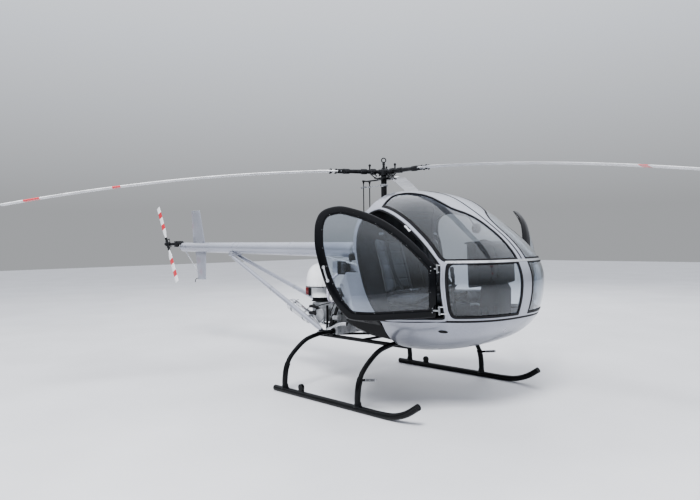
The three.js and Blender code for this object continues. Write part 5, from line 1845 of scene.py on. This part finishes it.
# Engine bay


TANK = [
    (-47, 1169, 500), (51, 1169, 605), (262, 1169, 612), (330, 990, 618), (478, 782, 620), (183, 756, 622),
        (83, 747, 560),
    (-148, 1034, 500), (-47, 1169, 335), (262, 1169, 335), (478, 782, 335), (83, 747, 335), (-148, 1034, 335)]


def hull(points):
    """Closed convex body round points in drawing millimetres."""
    bm = bmesh.new()
    for p in to_row(points):
        bm.verts.new(tuple(p))
    bmesh.ops.convex_hull(bm, input=bm.verts)
    loose = [v for v in bm.verts if not v.link_faces]
    bmesh.ops.delete(bm, geom=loose, context="VERTS")
    bmesh.ops.recalc_face_normals(bm, faces=bm.faces)
    mesh = bpy.data.meshes.new("hull")
    bm.to_mesh(mesh)
    bm.free()
    return mesh


def fuel_tanks():
    """Creased side tanks with rolled edges, filler caps and drain bosses."""
    behind = [(-400, 600), (500, 600), (468, 786)] + [(x - 14, z) for x, z in REAR_EDGE[1:7]] + [(-400, 1420)]
    metal, seams = Parts(), Parts()
    for name, s in (("left", 1), ("right", -1)):
        body = carve(hull([(x, y * s, z) for x, z, y in TANK]), ("INTERSECT", prism(behind, -900, 900)))
        obj = finish_mesh(link(f"fuel_tank_{name}_skin", body), material(silver_paint), 30)
        mod = obj.modifiers.new("rolled edges", "BEVEL")
        mod.width, mod.segments, mod.limit_method, mod.angle_limit = 0.012, 4, "ANGLE", math.radians(14)
        plain = bpy.data.meshes.new_from_object(obj.evaluated_get(bpy.context.evaluated_depsgraph_get()))
        obj.modifiers.remove(mod)
        obj.data = plain
        keep(finish_mesh(obj, material(silver_paint), 60), "airframe", "silver_paint", f"fuel_tank_{name}")
        metal.lathe((120, s * 440, 1167), (0, 0, 1), [(0, 46), (4, 46), (5, 40), (8, 38), (20, 38), (24, 34),
            (25, 8)], 40)
        metal.block((114, s * 440 - 30, 1190), (126, s * 440 + 30, 1196), 2)
        metal.lathe((250, s * 470, 752), (0, 0, -1), [(-10, 12), (8, 12), (12, 8), (20, 8), (22, 3)], 20)
        for x in (-20, 200):
            seams.tube([(x, s * 400, 1171), (x, s * 540, 1171.5)], 3, 8, 12)
    keep(metal.object("tank_caps", material(polished_alloy), None), "airframe", "steel")
    keep(seams.object("tank_straps", material(seal_rubber), None), "airframe", "seal_rubber")


def engine():
    """Flat-four engine: cast case, finned barrels, covers, intake, hoses, wires and the pulley under the fan."""
    case = Parts()
    case.block((-984, -138, 606), (-382, 138, 788), 12)
    case.block((-706, -98, 782), (-434, 98, 898), 14)
    case.block((-424, -312, 498), (-391, 312, 610), 5)
    case.block((-715, -38, 498), (-685, 38, 622), 4)
    case.lathe((-700, 0, 894), (0, 0, 1), [(0, 62), (8, 62), (10, 55), (50, 55), (56, 60), (66, 60), (66, 40)], 32)
    for s in (-1, 1):
        for x in (-752, -518):
            case.lathe((x, s * 130, 672), (0, s, 0), [(0, 58), (70, 58), (72, 66), (96, 66), (102, 60), (104, 30)],
                32)
            case.lathe((x - 52, s * 205, 672), (0, s, 0), [(0, 20), (24, 20), (28, 16), (29, 5)], 20)
            case.bar((x + 34, s * 196, 640), (x + 34, s * 120, 606), 20, 20)
    for k in range(5):
        case.block((-960 + 128 * k, -140, 690), (-950 + 128 * k, 140, 700), 3)
    keep(case.object("engine_case", material(cast_alloy), None, 35), "airframe", "bare_alloy", "engine")
    count = sizes().fin_count
    for s, side in ((-1, "right"), (1, "left")):
        for x, place in ((-752, "rear"), (-518, "front")):
            gap = 0.062 / max(count - 1, 1)
            keep(grow(
                f"cylinder_fins_{side}_{place}", fin_tree, bpy.data.meshes.new("seed"), material(cast_alloy), 30,
                Count=count, Start=((x + MAST_X) / 1000, s * 0.142, 0.672), Step=(0, s * gap, 0),
                    Plate=(0.152, 0.0035, 0.136)),
                "airframe", "bare_alloy")
    bolts = []
    for s in (-1, 1):
        for x in (-752, -518):
            bolts += [((x + 52 * math.cos(t), s * 226, 672 + 52 * math.sin(t)),
                (0, s, 0)) for t in (2 * math.pi * k / 6 + 0.5 for k in range(6))]
    bolts += [((x, s * 100, 789), (0, 0, 1)) for x in np.arange(-960, -720, 60) for s in (-1, 1)]
    keep(heads("engine_bolts", zinc_steel, bolts, 6, 5, 6), "airframe", "steel")

    r = sizes().hose_radius * 1000
    keep(pipes("engine_hoses", seal_rubber, r, *[
        [(-935, s * 150, 753), (-930, s * 214, 753), (-880, s * 226, 754), (-826, s * 226, 752), (-790, s * 214, 735),
            (-770, s * 190, 720)]
        for s in (-1, 1)], *[
        [(-940, s * 146, 680), (-938, s * 212, 680), (-886, s * 226, 681), (-834, s * 226, 676), (-806, s * 214, 660),
            (-790, s * 190, 650)]
        for s in (-1, 1)], step=10, Ribs=70.0, Depth=0.04), "airframe", "seal_rubber")
    keep(pipes("cooling_hoses", silicone_hose, 13, *[
        [(-640, s * 110, 800), (-640, s * 190, 830), (-628, s * 222, 900), (-610, s * 224, 1010),
            (-560, s * 200, 1080), (-480, s * 186, 1132)]
        for s in (-1, 1)], step=10, Ribs=60.0, Depth=0.02), "airframe", "bare_alloy")
    keep(pipes("spark_leads", seal_rubber, 5, *[
        [(x - 52, s * 230, 672), (x - 54, s * 244, 690), (x - 20, s * 240, 760), (-600, s * 130, 820),
            (-560, s * 96, 850)]
        for s in (-1, 1) for x in (-752, -518)], step=10, Sides=10), "airframe", "seal_rubber")
    keep(pipes("exhaust_headers", polished_alloy, 19, *[
        [(x + 34, s * 196, 640), (x + 30, s * 214, 596), (x - 40, s * 190, 566), (-900, s * 100 - 40, 590),
            (-976, -112, 626)]
        for s in (-1, 1) for x in (-752, -518)], step=12), "airframe", "bare_alloy")
    keep(pipes("side_pipe", polished_alloy, 20, [(-547, -300, 540), (-480, -304, 560), (-392, -304, 599),
        (-330, -302, 616), (-262, -296, 621)], step=12),
         "airframe", "bare_alloy")
    filter_can = Parts()
    for s in (-1, 1):
        filter_can.lathe((-476, s * 285, 668), (1, 0, 0), [(0, 8), (2, 22), (8, 26), (66, 26), (72, 28), (80, 28),
            (84, 22), (86, 10)], 32)
    keep(filter_can.object("oil_filters", material(cast_alloy), None), "airframe", "bare_alloy")

    drum, pulley = Parts(), Parts()
    drum.lathe((-990, 0, 790), (0, 0, 1), [(46, 90), (46, 104), (49, 107), (54, 105), (150, 106), (158, 104),
        (160, 90)], 56)
    pulley.lathe((-990, 0, 790.4), (0, 0, 1), [(0, 40), (0, 96), (4, 104), (12, 104), (16, 84), (38, 84), (42, 102),
        (46, 102), (46, 40)], 56)
    keep(drum.object("fan_drum", material(white_enamel), None), "airframe", "white_paint")
    keep(pulley.object("fan_pulley", material(phosphated_steel), None), "airframe", "bare_alloy")
    belts = Parts()
    for z in (808, 819):
        belts.lathe((-990, 0, z), (0, 0, 1), [(0, 84), (0, 92), (2, 94), (7, 94), (9, 92), (9, 84), (0, 84)], 48)
    keep(belts.object("fan_belts", material(seal_rubber), None), "airframe", "seal_rubber")


def fan_shroud():
    """Glossy domed shroud with its rolled rim, dark seam and screws."""
    dome = Parts()
    profile = [(160.6, 110), (160.2, 150), (161, 158), (164, 163), (170, 166), (176, 166.5), (214, 166)]
    for t in np.linspace(0.04, 1, 24):
        a = t * math.pi / 2
        profile.append((214 + 218 * math.sin(a), 166 * math.cos(a) ** 0.82))
    dome.lathe((-990, 0, 790), (0, 0, 1), profile, 80)
    keep(dome.object("fan_shroud_shell", material(white_enamel), None, 40), "airframe", "white_paint", "fan_shroud")
    seam = Parts()
    seam.lathe((-990, 0, 960), (0, 0, 1), [(-6, 160), (-6, 168), (-4, 169.5), (3, 169.5), (5, 168), (5, 160),
        (-6, 160)], 80)
    keep(seam.object("fan_shroud_seam", material(seal_rubber), None), "airframe", "seal_rubber")
    spots = [((-990 + 167 * math.cos(t), 167 * math.sin(t), 980),
        (math.cos(t), math.sin(t), 0)) for t in (2 * math.pi * k / 20 for k in range(20))]
    keep(heads("fan_shroud_screws", zinc_steel, spots, 4, 2), "airframe", "steel")
    lamp, lens = Parts(), Parts()
    lamp.block((-1150, -38, 846), (-1100, 38, 944), 8)
    lamp.block((-1158, -41, 842), (-1146, 41, 948), 4)
    lens.block((-1222, -36, 848), (-1150, 36, 942), 16)
    keep(lamp.object("rear_lamp_housing", material(moulded_plastic), None), "airframe", "red_lens", "rear_lamp")
    keep(lens.object("rear_lamp_lens", material(red_lens), None), "airframe", "red_lens")


def muffler():
    """Polished can with rolled seams, a stub tail pipe and its hangers."""
    can = Parts()
    start, end = Vector((-1385, -122, 747)), Vector((-1020, -122, 597))
    way = end - start
    length = way.length
    can.lathe(start, way, [
        (-48, 24), (-48, 27), (-20, 32), (-4, 40), (0, 52), (8, 62), (18, 65), (22, 67.5), (28, 67.5), (31, 65),
            (length * 0.5 - 4, 65),
        (length * 0.5, 67), (length * 0.5 + 4, 65), (length - 31, 65), (length - 28, 67.5), (length - 22, 67.5),
            (length - 18, 65),
        (length - 8, 62), (length - 2, 50), (length, 30)], 48)
    can.bar((-1060, -122, 613), (-988, -116, 627), 25, 28)
    keep(can.object("muffler_can", material(polished_alloy), None), "airframe", "bare_alloy", "muffler")
    straps = Parts()
    for t in (0.22, 0.78):
        at = start + way * t
        straps.lathe(at - way.normalized() * 9, way, [(0, 66), (0, 69), (18, 69), (18, 66), (0, 66)], 48)
        straps.bar(at + Vector((0, 0, 66)), at + Vector((60, 40, 120)) if t > 0.5 else at + Vector((30, 30, 84)), 5,
            12)
    keep(straps.object("muffler_straps", material(zinc_steel), None), "airframe", "steel")


def engine_frame():
    """Welded tube frame up to the gearbox deck, its gussets, the deck and the boom's cradle."""
    legs, braces, rest = [], [], Parts()
    for s in (-1, 1):
        legs += [[(-537, s * 299, 498), (-320, s * 218, 1106)], [(-56, s * 218, 713), (-56, s * 218, 1106)]]
        braces += [[(-536, s * 299, 510), (-432, s * 281, 642)], [(-377, s * 268, 713), (-80, s * 218, 1090)],
            [(-330, s * 200, 1108), (-400, s * 92, 1276)],
                   [(-56, s * 218, 900), (-395, s * 245, 900)],
                       [(-600, s * 258, 786), (-590, s * 268, 640), (-575, s * 292, 500)],
                   [(-500, s * 262, 700), (-532, s * 280, 600), (-545, s * 296, 500)]]
        rest.prism([(-345, 1099), (-250, 1099), (-340, 1010), (-362, 1014)], s * 222 - 3, s * 222 + 3, "xz", 1)
        rest.prism([(-150, 1099), (-58, 1099), (-58, 1006)], s * 218 - 3, s * 218 + 3, "xz", 1)
        rest.block((-560, s * 299 - 30, 497.6), (-510, s * 299 + 30, 506), 2)
    rest.block((-345, -238, 1100), (115, 238, 1117.6), 3)
    rest.block((-345, -238, 1084), (-337, 238, 1101), 2)
    keep(pipes("frame_legs", black_enamel, 17, *legs, step=60, Sides=24), "airframe", "black_frame", "engine_frame")
    keep(pipes("frame_braces", black_enamel, 12, *braces, step=60), "airframe", "black_frame")
    z0, r0 = boom_at(-350)
    z1, r1 = boom_at(-450)
    cut, cradle = Parts(), Parts()
    cut.lathe((-350, 0, z0), (-100, 0, z1 - z0), [(0, r0 + 0.3), (math.hypot(100, z1 - z0), r1 + 0.3)], 48)
    cradle.prism([(-102, 1266), (-94, 1262), (94, 1262), (102, 1266), (104, 1322), (96, 1330), (-96, 1330),
        (-104, 1322)], -423, -377, "yz", 2)
    keep(finish_mesh(link("boom_cradle", carve(cradle.mesh(), ("DIFFERENCE", cut.mesh()))), material(black_enamel),
        30), "airframe", "black_frame")
    keep(rest.object("gearbox_deck", material(black_enamel), None), "airframe", "black_frame")
    clamp = Parts()
    z, r = boom_at(-400)
    clamp.lathe((-384, 0, z), (-1, 0, 0.01), [(0, r), (0, r + 4), (32, r + 4), (32, r), (0, r)], 56)
    keep(clamp.object("boom_clamp", material(zinc_steel), None), "airframe", "steel")


def gearbox():
    """Cast gearbox with its foot, the boom's drive cover and the mast housing, oil coolers, belt cowl and braces."""
    cast, bolts = Parts(), []
    cast.block((-118, -118, 1118.6), (78, 118, 1148), 6)
    cast.lathe((0, 0, 1118.6), (0, 0, 1), [
        (20, 60), (26, 112), (40, 112), (44, 101), (150, 97), (156, 104), (170, 104), (176, 96), (300, 92), (306, 98),
            (318, 98), (324, 90),
        (428, 87), (436, 92), (446, 92), (450, 84), (486, 66), (516, 48), (521, 46), (521.3, 20)], 56)
    for k in range(8):
        t = 2 * math.pi * k / 8 + 0.39
        c, s = math.cos(t), math.sin(t)
        bolts += [((102 * c, 102 * s, 1292.5), (0, 0, 1)), ((96 * c, 96 * s, 1437), (0, 0, 1))]
    cast.lathe((-40, 0, BOOM["z_front"]), (-1, 0, 0), [(0, 40), (0, 58), (60, 60), (240, 60), (246, 70), (262, 72),
        (268, 70), (286, 62), (288, 50)], 40)
    for t in (2 * math.pi * k / 8 for k in range(8)):
        bolts.append(((-280, 66 * math.cos(t), BOOM["z_front"] + 66 * math.sin(t)), (1, 0, 0)))
    bolts += [((x, y, 1148.5), (0, 0, 1)) for x in (-104, 64) for y in (-104, 104)]
    keep(cast.object("gearbox_case", material(cast_alloy), None, 30), "airframe", "bare_alloy", "gearbox")
    keep(heads("gearbox_bolts", zinc_steel, bolts, 7, 6, 6), "airframe", "steel")
    cooler = Parts()
    for s in (-1, 1):
        cooler.block((-486, s * 186 - 24, 1120), (-478, s * 186 + 24, 1250), 2)
        cooler.block((-359, s * 186 - 24, 1120), (-351, s * 186 + 24, 1250), 2)
        cooler.block((-486, s * 186 - 26, 1244), (-351, s * 186 + 26, 1256), 3)
        cooler.block((-486, s * 186 - 26, 1118), (-300, s * 186 + 26, 1126), 3)
        keep(grow(
            f"oil_cooler_fins_{'left' if s > 0 else 'right'}", fin_tree, bpy.data.meshes.new("seed"),
                material(phosphated_steel), 30,
            Count=sizes().cooler_fins, Start=(0.0765, s * 0.186, 1.130),
                Step=(0, 0, 0.112 / max(sizes().cooler_fins - 1, 1)), Plate=(0.122, 0.044, 0.0026)),
            "airframe", "bare_alloy")
    keep(cooler.object("oil_cooler_frames", material(phosphated_steel), None), "airframe", "bare_alloy")
    cowl = Parts()
    cowl.prism([(-640, 1125), (-180, 1125), (-200, 1200), (-600, 1256), (-640, 1250)], -140, 140, "xz", 10)
    keep(cowl.object("belt_cowl", material(silver_paint), None), "airframe", "silver_paint")
    keep(pipes("upper_braces", polished_alloy, 11, *[
        [(-641, s * 200, 1296), (-232, s * 200, 1230)] for s in (-1, 1)], *[
        [(-232, s * 200, 1230), (-150, s * 180, 1180), (-110, s * 160, 1118)] for s in (-1, 1)], step=30), "airframe",
            "bare_alloy")


# Frame solids that stay

# The under tray's black enamel also stands for the shade inside the open truss below the cabin's rear: part real
# black frame, part painted shade.
KEPT = {"rear_bulkhead": moulded_plastic, "cabin_floor": carpet, "under_tray": black_enamel}


def dress_kept_solids():
    """Grained lining, carpet and black enamel on the frame solids that still show; the under tray's black is partly
    painted shade.
    """
    for name, maker in KEPT.items():
        NODES[name].data.materials.clear()
        NODES[name].data.materials.append(material(maker))


# Stage


def stage():
    """Pale floor, camera and soft studio light."""
    side, count = sizes().floor_side, 12
    mesh = bpy.data.meshes.new("floor")
    verts = [(side * (i / count - 0.5), side * (j / count - 0.5),
        0.0) for j in range(count + 1) for i in range(count + 1)]
    faces = [
        (j * (count + 1) + i, j * (count + 1) + i + 1, (j + 1) * (count + 1) + i + 1, (j + 1) * (count + 1) + i)
        for j in range(count) for i in range(count)]
    mesh.from_pydata(verts, [], faces)
    finish_mesh(link("studio_floor", mesh), material(studio_floor))

    yaw, pitch, roll = math.radians(135.53), math.radians(-0.785), math.radians(-0.716)
    forward = Vector((math.cos(yaw) * math.cos(pitch), math.sin(yaw) * math.cos(pitch), math.sin(pitch)))
    right = Vector((math.sin(yaw), -math.cos(yaw), 0))
    up = right.cross(forward)
    right, up = right * math.cos(roll) + up * math.sin(roll), up * math.cos(roll) - right * math.sin(roll)
    lens = bpy.data.cameras.new("camera")
    lens.lens, lens.sensor_width = 31.529, 36.0
    lens.clip_start, lens.clip_end = 0.05, 200.0
    camera = bpy.data.objects.new("camera", lens)
    camera.matrix_world = Matrix.Translation((4.7226, -4.6474, 1.4617)) @ Matrix((right, up,
        -forward)).transposed().to_4x4()
    bpy.context.scene.collection.objects.link(camera)
    bpy.context.scene.camera = camera

    for name, place, aim, size, power in (
        ("key", (5, -7, 11), (0, 0, 1), 4, 2600), ("fill", (-9, -8, 6), (-1, 0, 1), 9, 200),
            ("rim", (-5, 9, 9), (0, 0, 1), 6, 900)):
        light = bpy.data.lights.new(name, "AREA")
        light.energy, light.size = power, size
        lamp = bpy.data.objects.new(name, light)
        lamp.location = place
        lamp.rotation_euler = (Vector(aim) - Vector(place)).to_track_quat("-Z", "Y").to_euler()
        lamp.visible_glossy = lamp.visible_transmission = False
        bpy.context.scene.collection.objects.link(lamp)
    world = bpy.data.worlds.new("soft sky")
    world.use_nodes = True
    tree = world.node_tree
    back = tree.nodes["Background"]
    place = add(tree, "ShaderNodeTexCoord").outputs["Generated"]
    height = add(tree, "ShaderNodeSeparateXYZ", {"Vector": place}).outputs["Z"]
    ramp = add(tree, "ShaderNodeValToRGB", {"Fac": height})
    ramp.color_ramp.elements[0].color, ramp.color_ramp.elements[0].position = linear("#c9cbce"), 0.06
    ramp.color_ramp.elements[1].color, ramp.color_ramp.elements[1].position = linear("#f4f6fc"), 0.8
    ramp.color_ramp.elements.new(0.3).color = linear("#d9dde4")
    tree.links.new(ramp.outputs["Color"], back.inputs["Color"])
    power = add(tree, "ShaderNodeMapRange", {"Value": height}, From_Min=0.05, From_Max=0.6, To_Min=0.6, To_Max=1.45)
    tree.links.new(power.outputs["Result"], back.inputs["Strength"])
    bpy.context.scene.view_settings.look = "AgX - Medium High Contrast"
    bpy.context.scene.world = world


# Operators and panel


class HELICOPTER_OT_canopy_and_belly(bpy.types.Operator):
    """Makes the canopy frame, the belly and the waist seal."""

    bl_idname = "helicopter.canopy_and_belly"
    bl_label = "Canopy and belly"

    def execute(self, context):
        canopy_and_belly()
        return {"FINISHED"}


class HELICOPTER_OT_canopy_trim(bpy.types.Operator):
    """Makes the doorway trim, cross bar, roof seam, screws and latches."""

    bl_idname = "helicopter.canopy_trim"
    bl_label = "Canopy trim"

    def execute(self, context):
        canopy_trim()
        return {"FINISHED"}


class HELICOPTER_OT_windscreens(bpy.types.Operator):
    """Makes the four windscreen panes and their seals."""

    bl_idname = "helicopter.windscreens"
    bl_label = "Windscreens"

    def execute(self, context):
        windscreens()
        return {"FINISHED"}


class HELICOPTER_OT_doors(bpy.types.Operator):
    """Makes both doors with their glass, seals, handles and hinges."""

    bl_idname = "helicopter.doors"
    bl_label = "Doors"

    def execute(self, context):
        door(1)
        door(-1)
        hinge_brackets()
        return {"FINISHED"}


class HELICOPTER_OT_seat_pads(bpy.types.Operator):
    """Fills the two seat cushions and the two seat backs."""

    bl_idname = "helicopter.seat_pads"
    bl_label = "Seat pads"

    def execute(self, context):
        seat_pads()
        return {"FINISHED"}


class HELICOPTER_OT_harness(bpy.types.Operator):
    """Makes the lap belts, shoulder straps and buckles."""

    bl_idname = "helicopter.harness"
    bl_label = "Harness"

    def execute(self, context):
        harness()
        return {"FINISHED"}


class HELICOPTER_OT_console(bpy.types.Operator):
    """Makes the pedestal, the panel and its dials."""

    bl_idname = "helicopter.console"
    bl_label = "Instrument panel"

    def execute(self, context):
        console()
        return {"FINISHED"}


class HELICOPTER_OT_controls(bpy.types.Operator):
    """Makes the sticks, levers, pedals and compass."""

    bl_idname = "helicopter.controls"
    bl_label = "Cabin controls"

    def execute(self, context):
        controls()
        return {"FINISHED"}


class HELICOPTER_OT_cabin_lining(bpy.types.Operator):
    """Makes the seat box and floor mats."""

    bl_idname = "helicopter.cabin_lining"
    bl_label = "Cabin lining"

    def execute(self, context):
        cabin_lining()
        return {"FINISHED"}


class HELICOPTER_OT_skids(bpy.types.Operator):
    """Makes the skid tubes, lugs and shoes."""

    bl_idname = "helicopter.skids"
    bl_label = "Skids"

    def execute(self, context):
        skids()
        return {"FINISHED"}


class HELICOPTER_OT_cross_tubes(bpy.types.Operator):
    """Makes the arched cross tubes, sleeves and step pegs."""

    bl_idname = "helicopter.cross_tubes"
    bl_label = "Cross tubes"

    def execute(self, context):
        cross_tubes()
        return {"FINISHED"}


class HELICOPTER_OT_lower_truss(bpy.types.Operator):
    """Makes the rails, braces and saddles under the cabin."""

    bl_idname = "helicopter.lower_truss"
    bl_label = "Lower truss"

    def execute(self, context):
        lower_truss()
        return {"FINISHED"}


class HELICOPTER_OT_tail_boom(bpy.types.Operator):
    """Makes the boom, its bands and rivets."""

    bl_idname = "helicopter.tail_boom"
    bl_label = "Tail boom"

    def execute(self, context):
        tail_boom()
        return {"FINISHED"}


class HELICOPTER_OT_boom_struts(bpy.types.Operator):
    """Makes the two struts and their bracket."""

    bl_idname = "helicopter.boom_struts"
    bl_label = "Boom struts"

    def execute(self, context):
        boom_struts()
        return {"FINISHED"}


class HELICOPTER_OT_tail_surfaces(bpy.types.Operator):
    """Makes both fins, their rivets and the brace."""

    bl_idname = "helicopter.tail_surfaces"
    bl_label = "Tail surfaces"

    def execute(self, context):
        tail_surfaces()
        return {"FINISHED"}


class HELICOPTER_OT_main_blades(bpy.types.Operator):
    """Makes the three main blades with their bands and root bolts."""

    bl_idname = "helicopter.main_blades"
    bl_label = "Main blades"

    def execute(self, context):
        main_blades()
        return {"FINISHED"}


class HELICOPTER_OT_rotor_head(bpy.types.Operator):
    """Makes the hub, its arms, links and lifting eye."""

    bl_idname = "helicopter.rotor_head"
    bl_label = "Rotor head"

    def execute(self, context):
        rotor_head()
        return {"FINISHED"}


class HELICOPTER_OT_mast_and_controls(bpy.types.Operator):
    """Makes the mast, swashplate and push rods."""

    bl_idname = "helicopter.mast_and_controls"
    bl_label = "Mast and controls"

    def execute(self, context):
        mast_and_controls()
        return {"FINISHED"}


class HELICOPTER_OT_tail_rotor(bpy.types.Operator):
    """Makes the tail gearbox, hub and blades."""

    bl_idname = "helicopter.tail_rotor"
    bl_label = "Tail rotor"

    def execute(self, context):
        tail_rotor()
        return {"FINISHED"}


class HELICOPTER_OT_fuel_tanks(bpy.types.Operator):
    """Makes both side tanks and their caps."""

    bl_idname = "helicopter.fuel_tanks"
    bl_label = "Fuel tanks"

    def execute(self, context):
        fuel_tanks()
        return {"FINISHED"}


class HELICOPTER_OT_engine(bpy.types.Operator):
    """Makes the engine with its fins, hoses and leads."""

    bl_idname = "helicopter.engine"
    bl_label = "Engine"

    def execute(self, context):
        engine()
        return {"FINISHED"}


class HELICOPTER_OT_fan_shroud(bpy.types.Operator):
    """Makes the domed shroud and the rear lamp."""

    bl_idname = "helicopter.fan_shroud"
    bl_label = "Fan shroud"

    def execute(self, context):
        fan_shroud()
        return {"FINISHED"}


class HELICOPTER_OT_muffler(bpy.types.Operator):
    """Makes the exhaust can and its straps."""

    bl_idname = "helicopter.muffler"
    bl_label = "Muffler"

    def execute(self, context):
        muffler()
        return {"FINISHED"}


class HELICOPTER_OT_engine_frame(bpy.types.Operator):
    """Makes the welded frame, the deck and the boom's cradle."""

    bl_idname = "helicopter.engine_frame"
    bl_label = "Engine frame"

    def execute(self, context):
        engine_frame()
        return {"FINISHED"}


class HELICOPTER_OT_gearbox(bpy.types.Operator):
    """Makes the gearbox, oil coolers and upper braces."""

    bl_idname = "helicopter.gearbox"
    bl_label = "Gearbox"

    def execute(self, context):
        gearbox()
        return {"FINISHED"}


class HELICOPTER_OT_dress_kept_solids(bpy.types.Operator):
    """Gives the frame solids that still show their finishes."""

    bl_idname = "helicopter.dress_kept_solids"
    bl_label = "Lining, carpet and tray"

    def execute(self, context):
        dress_kept_solids()
        return {"FINISHED"}


class HELICOPTER_OT_stage(bpy.types.Operator):
    """Sets the floor, the camera and the lights."""

    bl_idname = "helicopter.stage"
    bl_label = "Stage"

    def execute(self, context):
        stage()
        return {"FINISHED"}


OPERATORS = (
    HELICOPTER_OT_canopy_and_belly,
    HELICOPTER_OT_canopy_trim,
    HELICOPTER_OT_windscreens,
    HELICOPTER_OT_doors,
    HELICOPTER_OT_seat_pads,
    HELICOPTER_OT_harness,
    HELICOPTER_OT_console,
    HELICOPTER_OT_controls,
    HELICOPTER_OT_cabin_lining,
    HELICOPTER_OT_skids,
    HELICOPTER_OT_cross_tubes,
    HELICOPTER_OT_lower_truss,
    HELICOPTER_OT_tail_boom,
    HELICOPTER_OT_boom_struts,
    HELICOPTER_OT_tail_surfaces,
    HELICOPTER_OT_main_blades,
    HELICOPTER_OT_rotor_head,
    HELICOPTER_OT_mast_and_controls,
    HELICOPTER_OT_tail_rotor,
    HELICOPTER_OT_fuel_tanks,
    HELICOPTER_OT_engine,
    HELICOPTER_OT_fan_shroud,
    HELICOPTER_OT_muffler,
    HELICOPTER_OT_engine_frame,
    HELICOPTER_OT_gearbox,
    HELICOPTER_OT_dress_kept_solids,
    HELICOPTER_OT_stage,
)


class HELICOPTER_PT_build(bpy.types.Panel):
    """Sizes, colours and pieces of the helicopter, in the order they are made"""

    bl_idname = "HELICOPTER_PT_build"
    bl_label = "Light helicopter"
    bl_space_type = "VIEW_3D"
    bl_region_type = "UI"
    bl_category = "Helicopter"

    def draw(self, context):
        layout = self.layout
        for title, group in (("Sizes", sizes()), ("Colours", colours())):
            box = layout.box()
            box.label(text=title)
            for name in group.bl_rna.properties.keys():
                if name not in {"rna_type", "name"}:
                    box.prop(group, name)
        column = layout.column(align=True)
        for kind in OPERATORS:
            column.operator(kind.bl_idname)


CLASSES = (HelicopterSizes, HelicopterColours) + OPERATORS + (HELICOPTER_PT_build,)


def register():
    for kind in CLASSES:
        bpy.utils.register_class(kind)
    bpy.types.Scene.helicopter_sizes = bpy.props.PointerProperty(type=HelicopterSizes)
    bpy.types.Scene.helicopter_colours = bpy.props.PointerProperty(type=HelicopterColours)


def unregister():
    del bpy.types.Scene.helicopter_colours
    del bpy.types.Scene.helicopter_sizes
    for kind in reversed(CLASSES):
        bpy.utils.unregister_class(kind)


def main():
    """Makes every piece in order."""
    register()
    bpy.ops.helicopter.canopy_and_belly()
    bpy.ops.helicopter.canopy_trim()
    bpy.ops.helicopter.windscreens()
    bpy.ops.helicopter.doors()
    bpy.ops.helicopter.seat_pads()
    bpy.ops.helicopter.harness()
    bpy.ops.helicopter.console()
    bpy.ops.helicopter.controls()
    bpy.ops.helicopter.cabin_lining()
    bpy.ops.helicopter.skids()
    bpy.ops.helicopter.cross_tubes()
    bpy.ops.helicopter.lower_truss()
    bpy.ops.helicopter.tail_boom()
    bpy.ops.helicopter.boom_struts()
    bpy.ops.helicopter.tail_surfaces()
    bpy.ops.helicopter.main_blades()
    bpy.ops.helicopter.rotor_head()
    bpy.ops.helicopter.mast_and_controls()
    bpy.ops.helicopter.tail_rotor()
    bpy.ops.helicopter.fuel_tanks()
    bpy.ops.helicopter.engine()
    bpy.ops.helicopter.fan_shroud()
    bpy.ops.helicopter.muffler()
    bpy.ops.helicopter.engine_frame()
    bpy.ops.helicopter.gearbox()
    bpy.ops.helicopter.dress_kept_solids()
    bpy.ops.helicopter.stage()


if __name__ == "__main__":
    main()
